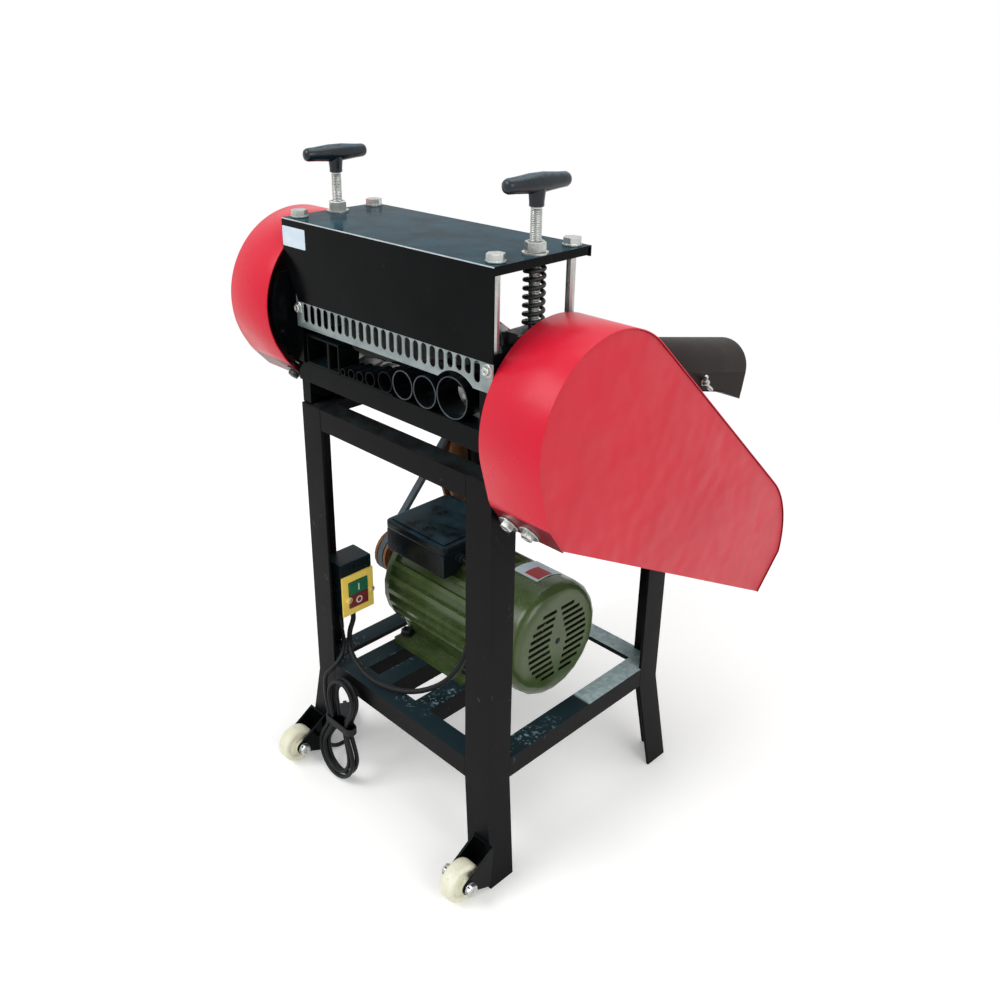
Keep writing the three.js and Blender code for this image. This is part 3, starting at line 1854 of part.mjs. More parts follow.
function terminalBox() {
  const body = block(
    terminalBoxLeft,
    terminalBoxRight,
    terminalBoxFront,
    terminalBoxRear,
    terminalBoxBottom,
    lidBottom - seatGap,
  );
  const saddle = rodX(
    motorY,
    motorZ,
    (housingRadius + finHeight + seatGap) / Math.cos(Math.PI / fineSides),
    terminalBoxLeft - overrun,
    terminalBoxRight + overrun,
    fineSides,
  );
  const gland = rodX(
    motorY - leadGlandSide,
    terminalBoxBottom + leadGlandRise,
    leadGland / 2,
    terminalBoxRight - weld,
    terminalBoxRight + leadGlandLength,
    smallSides,
  );
  return join(cut(body, saddle), gland);
}

function terminalLid() {
  const plate = block(
    terminalBoxLeft - terminalLidLip,
    terminalBoxRight + terminalLidLip,
    terminalBoxFront - terminalLidLip,
    terminalBoxRear + terminalLidLip,
    lidBottom,
    terminalLidTop,
  );
  return plate;
}

// Switch

const switchFace = -sideX + legWall + seatGap + switchDepth;

function switchBox() {
  const left = -sideX + legWall + seatGap;
  const body = block(
    left,
    switchFace,
    switchFront,
    switchFront + switchWidth,
    switchBottom,
    switchBottom + switchHeight,
  );
  const opening = block(
    switchFace - keyStand - keyTravel - seatGap,
    switchFace + overrun,
    switchFront + bezelRim,
    switchFront + switchWidth - bezelRim,
    switchBottom + bezelRim,
    switchBottom + bezelHeight - bezelRim,
  );
  const glandBottom = switchBottom - leadGlandLength;
  const glands = switchGlandPlaces.map(([x, y]) =>
    rodZ(left + x, switchFront + y, switchGland / 2, glandBottom, switchBottom + weld, smallSides),
  );
  return join(cut(body, opening), ...glands);
}

function switchBezel() {
  const from = switchFace + seatGap;
  const outer = rectangle(
    switchFront,
    switchFront + switchWidth,
    switchBottom,
    switchBottom + bezelHeight,
  );
  const inner = rectangle(
    switchFront + bezelRim,
    switchFront + switchWidth - bezelRim,
    switchBottom + bezelRim,
    switchBottom + bezelHeight - bezelRim,
  );
  return alongX(shapeOf(outer, inner.reverse()), from, from + bezelWall);
}

function switchKey(upper) {
  const keyHeight = (bezelHeight - 2 * bezelRim - 3 * keyGap) / 2;
  const low = switchBottom + bezelRim + keyGap + (upper ? keyHeight + keyGap : 0);
  return block(
    switchFace - keyStand,
    switchFace + seatGap + bezelWall + keyStand / 2,
    switchFront + bezelRim + keyGap,
    switchFront + switchWidth - bezelRim - keyGap,
    low,
    low + keyHeight,
  );
}

// Leads

function routeCurve(route) {
  return new THREE.CatmullRomCurve3(
    route.map((p) => new THREE.Vector3(...p)),
    false,
    "centripetal",
  );
}

function leadTube(route, diameter, steps) {
  const section = shapeOf(circle(0, 0, diameter / 2, tubeSides));
  return new THREE.ExtrudeGeometry(section, {
    steps,
    extrudePath: routeCurve(route),
    bevelEnabled: false,
    curveSegments: 1,
  });
}

// Half width of a hank loop at a height, between its foot fold, its waist and its top fold
function hankHalfWidth(height, offset) {
  const footCentre = hankFootRadius;
  const topCentre = hankLength - hankTopRadius;
  const ease = (t) => t * t * (3 - 2 * t);
  if (height < hankWaistHeight) {
    const t = ease((hankWaistHeight - height) / (hankWaistHeight - footCentre));
    return offset + hankWaist + (hankFootRadius - hankWaist) * t;
  }
  const t = ease((height - hankWaistHeight) / (topCentre - hankWaistHeight));
  return offset + hankWaist + (hankTopRadius - hankWaist) * t;
}

// One point of the hank, from its turn count: left run down, foot fold, right run up, top fold
function hankLocal(turn, offset) {
  const phase = turn - Math.floor(turn);
  const footCentre = hankFootRadius;
  const topCentre = hankLength - hankTopRadius;
  const runShare = 0.25;
  if (phase < runShare) {
    const height = THREE.MathUtils.lerp(topCentre, footCentre, phase / runShare);
    return [-hankHalfWidth(height, offset), height];
  }
  if (phase < 2 * runShare) {
    const angle = Math.PI * (1 + (phase - runShare) / runShare);
    const radius = hankFootRadius + offset;
    return [radius * Math.cos(angle), footCentre + radius * Math.sin(angle)];
  }
  if (phase < 3 * runShare) {
    const height = THREE.MathUtils.lerp(footCentre, topCentre, (phase - 2 * runShare) / runShare);
    return [hankHalfWidth(height, offset), height];
  }
  const angle = (Math.PI * (phase - 3 * runShare)) / runShare;
  const radius = hankTopRadius + offset;
  return [radius * Math.cos(angle), topCentre + radius * Math.sin(angle)];
}

// How far out a turn lies: it steps in on each left run and foot fold until the reversal, and out after it
function hankOffset(turn) {
  const halfTurns = Math.floor(2 * turn);
  const ramp = halfTurns % 2 === 0 ? 2 * turn - halfTurns : 1;
  return hankStep * Math.abs(Math.floor(halfTurns / 2) + ramp - hankTurns);
}

// The front layer goes in, the lead climbs along a right run to the back layer, and goes out again
function hankPoints() {
  const total = hankTurns + hankEndTurns;
  const steps = Math.round(total * hankStepsPerTurn);
  const [climbFrom, climbTo] = hankLayerShares.map((share) => hankTurns - share);
  const lift = hankBottom + (hankStep * (hankTurns + 1)) / 2;
  return Array.from({ length: steps + 1 }, (unused, i) => {
    const turn = (i / steps) * total;
    const layer = THREE.MathUtils.smoothstep(turn, climbFrom, climbTo);
    const [across, up] = hankLocal(turn, hankOffset(turn));
    const y = hankTopY - hankLean * (1 - up / hankLength) + (layer - 0.5) * hankLayerPitch;
    return new THREE.Vector3(hankX + across, y, lift + up);
  });
}

// From the hank's last run the lead curves back under it, and then aside to the plug behind the leg
function hankTail(last) {
  const tail = [];
  const steps = hankTailSteps;
  for (let i = 1; i <= steps; i++) {
    const angle = ((Math.PI / 2) * i) / steps;
    const back = hankTailRadius * (1 - Math.cos(angle));
    tail.push(new THREE.Vector3(last.x, last.y + back, last.z - hankTailRadius * Math.sin(angle)));
  }
  const corner = tail[steps - 1];
  for (let i = 1; i <= steps; i++) {
    const angle = (radians(hankTailTurn) * i) / steps;
    const x = corner.x - hankTailTurnRadius * (1 - Math.cos(angle));
    const y = corner.y + hankTailTurnRadius * Math.sin(angle);
    const z = THREE.MathUtils.lerp(corner.z, plugAxis, THREE.MathUtils.smoothstep(i, 0, steps));
    tail.push(new THREE.Vector3(x, y, z));
  }
  return tail;
}

function buildHank() {
  const loops = hankPoints();
  const tail = hankTail(loops[loops.length - 1]);
  const points = [...loops, ...tail];
  const start = points[0].clone().add(new THREE.Vector3(0, 0, mainsDiameter));
  const heading = new THREE.Vector3(-Math.sin(radians(hankTailTurn)), Math.cos(radians(hankTailTurn)), 0);
  const end = points[points.length - 1].clone().addScaledVector(heading, mainsDiameter);
  const whole = [start, ...points, end];
  console.log("hank: least gap to itself", leastSelfGap(whole, mainsDiameter / 2).toFixed(2), "mm");
  console.log("hank: starts at", start.toArray().map((v) => v.toFixed(1)).join(", "));
  return whole;
}

function plug(points) {
  const end = points[points.length - 1];
  const body = block(
    -plugWidth / 2,
    plugWidth / 2,
    plugRelief,
    plugRelief + plugLength,
    -plugHeight / 2,
    plugHeight / 2,
  );
  const relief = new THREE.LatheGeometry(
    [
      point(0, 0),
      point(mainsDiameter / 2 + plugReliefWall, 0),
      point(plugReliefRadius, plugRelief + weld),
      point(0, plugRelief + weld),
    ],
    smallSides,
  );
  const pinStart = plugRelief + plugLength - weld;
  const pins = [-1, 1].map((side) => {
    const x = (side * pinSpacing) / 2;
    return block(
      x - pinWidth / 2,
      x + pinWidth / 2,
      pinStart,
      pinStart + pinLength,
      -pinWall / 2,
      pinWall / 2,
    );
  });
  const whole = join(body, relief, ...pins).translate(0, seatGap, 0);
  whole.rotateZ(radians(hankTailTurn));
  return whole.translate(end.x, end.y, plugAxis);
}

// Outlet chute: an arched hood whose sides deepen to the back, over a tray with a flap bent down at its end
function outletChute() {
  const arch = arc(0, 0, chuteRadius, 0, 180, roundSides);
  const inner = arc(0, 0, chuteRadius - chuteWall, 180, 0, roundSides);
  const hood = alongY(shapeOf([...arch, ...inner]), 0, chuteLength);
  const bend = chuteLength - chuteFlap;
  const tray = alongX(
    shapeOf([
      point(0, -chuteTrayRise),
      point(bend, -chuteFlapStartDrop),
      point(chuteLength, -chuteFlapDrop),
      point(chuteLength, chuteWall - chuteFlapDrop),
      point(bend, chuteWall - chuteFlapStartDrop),
      point(0, chuteWall - chuteTrayRise),
    ]),
    -chuteRadius,
    chuteRadius,
  );
  const walls = [-1, 1].map((side) => {
    const [x0, x1] = [side * (chuteRadius - chuteWall), side * chuteRadius].sort((a, b) => a - b);
    const outline = [
      point(0, -chuteTrayRise),
      point(bend, -chuteFlapStartDrop),
      point(chuteLength, -chuteSideDrop),
      point(chuteLength, weld),
      point(0, weld),
    ];
    return alongX(shapeOf(outline), x0, x1);
  });
  const whole = join(hood, tray, ...walls);
  const slope = radians(chuteSlope);
  const underTray = wireTable + seatGap + chuteTrayRise * Math.cos(slope);
  const pastRail = (chuteTrayRise * Math.sin(slope) - chuteRailGap) * Math.tan(slope);
  return whole.rotateX(-slope).translate(chuteX, headBack + chuteRailGap, underTray + pastRail);
}

// Assembly

add("leg_front_left", leg(-1, -1), "blackPaint");
add("leg_front_right", guardTabCut(join(leg(1, -1), guardTab(1)), 1), "blackPaint");
add("leg_rear_left", leg(-1, 1), "blackPaint");
add("leg_rear_right", leg(1, 1), "blackPaint");
add("table_frame", tableFrame(), "blackPaint");
add("shelf_frame", shelfFrame(), "blackPaint");
add("caster_bracket_left", casterBracket(-1), "blackPaint");
add("caster_bracket_right", casterBracket(1), "blackPaint");
add("caster_wheel_left", casterWheel(-1), "nylon");
add("caster_wheel_right", casterWheel(1), "nylon");

add("side_plate_left", guardTabCut(join(sidePlate(-1), guardTab(-1)), -1), "blackPaint");
add("side_plate_right", sidePlate(1), "blackPaint");
add("head_front_rail", headRail(true), "blackPaint");
add("head_rear_rail", headRail(false), "blackPaint");
add("top_plate", topPlate(), "blackPaint");
add("top_sheet", topSheet(), "blackPaint");
add("corner_bolt_front_left", cornerBolt(-1, postFrontY), "zinc");
add("corner_bolt_front_right", cornerBolt(1, postFrontY), "zinc");
add("corner_bolt_rear_left", cornerBolt(-1, postRearY), "zinc");
add("corner_bolt_rear_right", cornerBolt(1, postRearY), "zinc");

[-1, 1].forEach((side) => {
  const name = side < 0 ? "left" : "right";
  add("adjusting_screw_" + name, adjustingScrew(side), "zinc");
  add("t_handle_" + name, tHandle(side), "blackPlastic");
  add("spring_" + name, spring(side), "blackPaint");
  add("bearing_block_" + name, bearingBlock(side), "steel");
});

add("blade_shaft", bladeShaft(), "steel");
add("feed_roller", feedRoller(), "steel");
add("comb_plate", combPlate(), "aluminium");
add("box_guides", boxGuides(), "blackPaint");
add("small_guide_tubes", smallGuides(), "blackPaint");
for (let i = 7; i < channelCentres.length; i++) add("guide_tube_" + (i - 6), roundGuide(i), "blackPaint");
add("guard_left", guard(-1), "redPaint");
add("guard_right", guard(1), "redPaint");

add("drive_sprocket", sprocket(shaftY, rollerHeight, sprocketTeeth, journalDiameter / 2 + boreGap), "steel");
add("drive_chain", chainLoop(), "steel");
add("cross_shaft", crossShaft(), "steel");
add(
  "cross_shaft_pulley",
  pulley(crossShaftY, crossShaftZ, bigPulleyRadius, crossShaftDiameter / 2 + boreGap, true),
  "castBrown",
);
add("bearing_bracket_left", bearingBracket(-1), "blackPaint");
add("bearing_bracket_right", bearingBracket(1), "blackPaint");
add("v_belt", vBelt(), "rubber");

add("motor_housing", motorHousing(), "motorGreen");
add("motor_shaft", motorShaft(), "steel");
add(
  "motor_pulley",
  pulley(motorY, motorZ, motorPulleyRadius, motorShaftDiameter / 2 + boreGap, false),
  "castBrown",
);
add("fan_cover", fanCover(), "motorGreen");
add("terminal_box", terminalBox(), "blackPlastic");
add("terminal_box_lid", terminalLid(), "blackPlastic");

add("switch_box", switchBox(), "blackPlastic");
add("switch_bezel", switchBezel(), "yellowPlastic");
add("start_key", switchKey(true), "greenPlastic");
add("stop_key", switchKey(false), "redPlastic");

const hank = buildHank();
add("motor_lead", leadTube(motorLeadRoute, leadDiameter, leadSteps), "rubber");
const cordMeshes = [
  add("mains_lead", leadTube(mainsRoute, mainsDiameter, mainsSteps), "rubber"),
  add("mains_hank", sweptTube(hank, mainsDiameter / 2, tubeFacets), "rubber"),
  add("mains_plug", plug(hank), "rubber"),
];
add("outlet_chute", outletChute(), "blackPaint");

// The origin is the middle of the machine's footprint box, without the loose mains lead
const box = new THREE.Box3();
machine.children
  .filter((mesh) => !cordMeshes.includes(mesh))
  .forEach((mesh) => {
    mesh.geometry.computeBoundingBox();
    box.union(mesh.geometry.boundingBox);
  });
const middle = box.getCenter(new THREE.Vector3());
machine.position.set(-middle.x, -middle.y, -box.min.z);
console.log("origin shift", machine.position.toArray().map((v) => v.toFixed(3)).join(", "));

export default machine;
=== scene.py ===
import json
import math

import bpy
from mathutils import Matrix, Vector


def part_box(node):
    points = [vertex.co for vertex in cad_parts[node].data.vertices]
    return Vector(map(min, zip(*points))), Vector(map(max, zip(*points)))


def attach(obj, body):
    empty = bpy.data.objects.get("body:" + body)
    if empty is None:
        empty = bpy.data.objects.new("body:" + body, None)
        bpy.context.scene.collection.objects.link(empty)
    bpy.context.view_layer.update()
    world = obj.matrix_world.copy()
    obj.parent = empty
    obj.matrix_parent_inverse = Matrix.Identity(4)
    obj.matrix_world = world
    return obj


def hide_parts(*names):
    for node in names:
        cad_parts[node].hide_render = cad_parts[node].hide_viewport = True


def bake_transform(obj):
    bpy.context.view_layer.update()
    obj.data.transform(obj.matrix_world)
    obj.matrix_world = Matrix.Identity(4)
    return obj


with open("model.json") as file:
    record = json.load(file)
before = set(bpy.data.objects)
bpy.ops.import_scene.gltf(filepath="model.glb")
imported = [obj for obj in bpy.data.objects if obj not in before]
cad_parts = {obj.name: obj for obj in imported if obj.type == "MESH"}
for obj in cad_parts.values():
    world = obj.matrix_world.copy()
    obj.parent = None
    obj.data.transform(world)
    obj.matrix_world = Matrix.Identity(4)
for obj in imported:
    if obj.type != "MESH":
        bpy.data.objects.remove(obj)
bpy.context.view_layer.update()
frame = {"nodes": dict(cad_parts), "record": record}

nodes = frame["nodes"]
bodyOf = {node: body for body, held in frame["record"]["behaviour"]["bodies"].items() for node in held}

# The drawing's numbers are in millimetres, with the origin under the middle of the stand
drawing = {"backShift": -74.974}
partOrigin = (0, -drawing["backShift"], 0)  # where the part's own origin lies in the drawing
casters = {"x": 168, "y": -212, "z": 27}
screws = {
    "x": 159, "y": -102, "radius": 6, "pitch": 1.75, "foot": 685.5, "threadStart": 687, "threadEnd": 803,
    "top": 813,
}


def place(x, y, z):
    return Vector((x, y + drawing["backShift"], z)) / 1000


def linked(name, data):
    piece = bpy.data.objects.new(name, data)
    bpy.context.scene.collection.objects.link(piece)
    return piece


def tone(red, green, blue):
    def linear(value):
        value = value / 255
        return value / 12.92 if value <= 0.04045 else ((value + 0.055) / 1.055) ** 2.4
    return (linear(red), linear(green), linear(blue), 1)


# Shader helpers: what is given may be a plain value or another node's output


def feed(tree, given, socket):
    if hasattr(given, "is_output"):
        tree.links.new(given, socket)
    else:
        socket.default_value = given


def objectNoise(tree, scale, detail, stretch=None, spot=(-300, 0)):
    where = tree.nodes.new("ShaderNodeTexCoord")
    noise = tree.nodes.new("ShaderNodeTexNoise")
    noise.inputs["Detail"].default_value = detail
    noise.inputs["Roughness"].default_value = 0.6
    where.location, noise.location = (spot[0] - 400, spot[1]), spot
    if stretch:
        turn = tree.nodes.new("ShaderNodeMapping")
        turn.location = (spot[0] - 200, spot[1])
        tree.links.new(where.outputs["Object"], turn.inputs["Vector"])
        tree.links.new(turn.outputs["Vector"], noise.inputs["Vector"])
        feed(tree, stretch, turn.inputs["Scale"])
    else:
        tree.links.new(where.outputs["Object"], noise.inputs["Vector"])
    feed(tree, scale, noise.inputs["Scale"])
    return noise.outputs["Fac"]


def ranged(tree, value, low, high, toLow=0.0, toHigh=1.0):
    node = tree.nodes.new("ShaderNodeMapRange")
    tree.links.new(value, node.inputs["Value"])
    for label, given in (("From Min", low), ("From Max", high), ("To Min", toLow), ("To Max", toHigh)):
        feed(tree, given, node.inputs[label])
    return node.outputs["Result"]


def maths(tree, operation, a, b):
    node = tree.nodes.new("ShaderNodeMath")
    node.operation = operation
    for socket, given in zip(node.inputs, (a, b)):
        feed(tree, given, socket)
    return node.outputs[0]


def blended(tree, factor, a, b):
    node = tree.nodes.new("ShaderNodeMix")
    node.data_type = "RGBA"
    for label, given in (("Factor_Float", factor), ("A_Color", a), ("B_Color", b)):
        socket = next(s for s in node.inputs if s.identifier == label)
        feed(tree, given, socket)
    return next(s for s in node.outputs if s.identifier == "Result_Color")


print("stage: camera and studio")

camera = {
    "place": (803.6, -814.2, 969.9), "turn": 46.6, "tilt": 23.2, "focal": 35.53, "shift": (0.0412, -0.0578),
}
studio = {
    "world": 0.62,
    "floorColor": tone(246, 246, 245),
    "floorGlow": 0.2,  # only what the camera, metal and glass see of the floor, so it lights nothing
    "floorSize": 40,
    "fade": (0.9, 2.2),  # metres from the middle, where the floor turns into the white background
    "lamps": [
        ("keyLamp", (-0.9, -2.2, 2.6), (0, -0.1, 0.45), 1.6, 44),
        ("sideLamp", (2.6, -0.5, 1.7), (0, 0, 0.5), 1.4, 22),
        ("topLamp", (0.2, 0.5, 2.9), (0, 0, 0.5), 1.8, 20),
    ],
}


def makeCamera():
    data = bpy.data.cameras.new("camera")
    eye = linked("camera", data)
    eye.location = place(*camera["place"])
    eye.rotation_euler = (math.radians(90 - camera["tilt"]), 0, math.radians(camera["turn"]))
    data.lens = camera["focal"]
    data.sensor_width = 36
    data.shift_x, data.shift_y = camera["shift"]
    data.clip_start = 0.01
    data.clip_end = 60
    bpy.context.scene.camera = eye


def makeLamp(name, spot, target, size, power):
    data = bpy.data.lights.new(name, "AREA")
    data.size = size
    data.energy = power
    lamp = linked(name, data)
    lamp.location = spot
    lamp.rotation_euler = (Vector(target) - Vector(spot)).to_track_quat("-Z", "Y").to_euler()


def seenDirectly(tree):
    # one where the camera, a mirror or a glass looks straight at the background
    path = tree.nodes.new("ShaderNodeLightPath").outputs
    first = maths(tree, "MAXIMUM", path["Is Camera Ray"], path["Is Glossy Ray"])
    return maths(tree, "MAXIMUM", first, path["Is Transmission Ray"])


def makeStudio():
    world = bpy.data.worlds.new("studioWorld")
    bpy.context.scene.world = world
    world.use_nodes = True
    tree = world.node_tree
    tree.nodes.clear()
    light = tree.nodes.new("ShaderNodeBackground")
    light.inputs["Color"].default_value = (1, 1, 1, 1)
    light.inputs["Strength"].default_value = studio["world"]
    white = tree.nodes.new("ShaderNodeBackground")
    white.inputs["Color"].default_value = (1, 1, 1, 1)
    white.inputs["Strength"].default_value = 1
    mix = tree.nodes.new("ShaderNodeMixShader")
    out = tree.nodes.new("ShaderNodeOutputWorld")
    tree.links.new(seenDirectly(tree), mix.inputs[0])
    tree.links.new(light.outputs[0], mix.inputs[1])
    tree.links.new(white.outputs[0], mix.inputs[2])
    tree.links.new(mix.outputs[0], out.inputs["Surface"])

    bpy.ops.mesh.primitive_plane_add(size=studio["floorSize"])
    floor = bpy.context.active_object
    floor.name = "studioFloor"
    bpy.ops.object.transform_apply(location=True, rotation=True, scale=True)
    paper = bpy.data.materials.new("studioPaper")
    paper.use_nodes = True
    sheet = paper.node_tree
    shader = sheet.nodes["Principled BSDF"]
    shader.inputs["Base Color"].default_value = studio["floorColor"]
    shader.inputs["Roughness"].default_value = 0.9
    shader.inputs["Specular IOR Level"].default_value = 0.1
    shader.inputs["Emission Color"].default_value = (1, 1, 1, 1)
    seen = seenDirectly(sheet)
    sheet.links.new(maths(sheet, "MULTIPLY", seen, studio["floorGlow"]), shader.inputs["Emission Strength"])
    where = sheet.nodes.new("ShaderNodeTexCoord")
    reach = sheet.nodes.new("ShaderNodeVectorMath")
    reach.operation = "LENGTH"
    glow = sheet.nodes.new("ShaderNodeEmission")
    both = sheet.nodes.new("ShaderNodeMixShader")
    sheet.links.new(where.outputs["Object"], reach.inputs[0])
    share = maths(sheet, "MULTIPLY", ranged(sheet, reach.outputs["Value"], *studio["fade"]), seen)
    sheet.links.new(share, both.inputs[0])
    sheet.links.new(shader.outputs[0], both.inputs[1])
    sheet.links.new(glow.outputs[0], both.inputs[2])
    sheet.links.new(both.outputs[0], sheet.nodes["Material Output"].inputs["Surface"])
    floor.data.materials.append(paper)
    for name, spot, target, size, power in studio["lamps"]:
        makeLamp(name, spot, target, size, power)
    bpy.context.scene.view_settings.view_transform = "Standard"


bpy.ops.object.select_all(action="DESELECT")
makeCamera()
makeStudio()

# Shared shader groups: each gives a colour, a mask or a normal

print("stage: finishes")


def newGroup(name, inputs, outputs):
    group = bpy.data.node_groups.new(name, "ShaderNodeTree")
    for kind, label, value in inputs:
        socket = group.interface.new_socket(name=label, in_out="INPUT", socket_type="NodeSocket" + kind)
        socket.default_value = value
    for kind, label in outputs:
        group.interface.new_socket(name=label, in_out="OUTPUT", socket_type="NodeSocket" + kind)
    start = group.nodes.new("NodeGroupInput")
    end = group.nodes.new("NodeGroupOutput")
    start.location, end.location = (-700, 0), (700, 0)
    return group, start, end


def makeMottle():
    # two tones of one colour in soft patches
    group, start, end = newGroup(
        "mottledColor",
        [
            ("Color", "Color", (0.5, 0.5, 0.5, 1)), ("Color", "Second", (0.4, 0.4, 0.4, 1)),
            ("Float", "Scale", 20), ("Float", "Amount", 0.5),
        ],
        [("Color", "Color"), ("Float", "Mask")],
    )
    noise = objectNoise(group, start.outputs["Scale"], 6)
    mask = ranged(group, noise, 0.36, 0.64)
    share = maths(group, "MULTIPLY", mask, start.outputs["Amount"])
    color = blended(group, share, start.outputs["Color"], start.outputs["Second"])
    group.links.new(color, end.inputs["Color"])
    group.links.new(mask, end.inputs["Mask"])
    return group


def makeScuffs():
    # thin rubbed places, long in the direction that the stretch makes short
    group, start, end = newGroup(
        "scuffMask",
        [
            ("Vector", "Stretch", (1, 1, 1)), ("Float", "Scale", 60), ("Float", "Edge", 0.62),
            ("Float", "Amount", 0.5),
        ],
        [("Float", "Mask")],
    )
    fine = objectNoise(group, start.outputs["Scale"], 8, start.outputs["Stretch"])
    patches = ranged(group, objectNoise(group, 9, 2, None, (-300, -300)), 0.45, 0.7)
    upper = maths(group, "ADD", start.outputs["Edge"], 0.06)
    rubbed = ranged(group, fine, start.outputs["Edge"], upper)
    both = maths(group, "MULTIPLY", rubbed, patches)
    group.links.new(maths(group, "MULTIPLY", both, start.outputs["Amount"]), end.inputs["Mask"])
    return group


def makeDustAndSheen():
    # dust that settles on faces that look up; on the bluish black finishes the same mask carries a painted
    # sheen
    group, start, end = newGroup(
        "settledDustAndSheenMask",
        [("Float", "Scale", 45), ("Float", "Steepness", 0.6), ("Float", "Amount", 0.4)],
        [("Float", "Mask")],
    )
    where = group.nodes.new("ShaderNodeTexCoord")
    parts = group.nodes.new("ShaderNodeSeparateXYZ")
    group.links.new(where.outputs["Normal"], parts.inputs["Vector"])
    up = ranged(group, parts.outputs["Z"], start.outputs["Steepness"], 1.0)
    patches = ranged(group, objectNoise(group, start.outputs["Scale"], 7), 0.38, 0.66)
    both = maths(group, "MULTIPLY", up, patches)
    group.links.new(maths(group, "MULTIPLY", both, start.outputs["Amount"]), end.inputs["Mask"])
    return group


def makeSkin():
    # fine grain over a slow wave, as a normal
    group, start, end = newGroup(
        "skinNormal",
        [
            ("Float", "GrainScale", 900), ("Float", "Grain", 0.1), ("Float", "WaveScale", 14),
            ("Float", "Wave", 0.1), ("Vector", "Stretch", (1, 1, 1)),
        ],
        [("Vector", "Normal")],
    )
    grain = objectNoise(group, start.outputs["GrainScale"], 4, start.outputs["Stretch"])
    wave = objectNoise(group, start.outputs["WaveScale"], 2, None, (-300, -300))
    slow = group.nodes.new("ShaderNodeBump")
    slow.inputs["Distance"].default_value = 0.01
    group.links.new(start.outputs["Wave"], slow.inputs["Strength"])
    group.links.new(wave, slow.inputs["Height"])
    fine = group.nodes.new("ShaderNodeBump")
    fine.inputs["Distance"].default_value = 0.0004
    group.links.new(start.outputs["Grain"], fine.inputs["Strength"])
    group.links.new(grain, fine.inputs["Height"])
    group.links.new(slow.outputs["Normal"], fine.inputs["Normal"])
    group.links.new(fine.outputs["Normal"], end.inputs["Normal"])
    return group


def makeSpangle():
    # zinc crystals: a grey that changes from cell to cell
    group, start, end = newGroup(
        "spangleColor",
        [
            ("Color", "Pale", (0.8, 0.8, 0.8, 1)), ("Color", "Dark", (0.4, 0.4, 0.4, 1)),
            ("Float", "Scale", 160),
        ],
        [("Color", "Color"), ("Float", "Mask")],
    )
    where = group.nodes.new("ShaderNodeTexCoord")
    cells = group.nodes.new("ShaderNodeTexVoronoi")
    group.links.new(where.outputs["Object"], cells.inputs["Vector"])
    group.links.new(start.outputs["Scale"], cells.inputs["Scale"])
    parts = group.nodes.new("ShaderNodeSeparateColor")
    group.links.new(cells.outputs["Color"], parts.inputs["Color"])
    color = blended(group, parts.outputs[0], start.outputs["Dark"], start.outputs["Pale"])
    group.links.new(color, end.inputs["Color"])
    group.links.new(parts.outputs[0], end.inputs["Mask"])
    return group


groups = {
    "mottle": makeMottle(), "scuffs": makeScuffs(), "dust": makeDustAndSheen(), "skin": makeSkin(),
    "spangle": makeSpangle(),
}
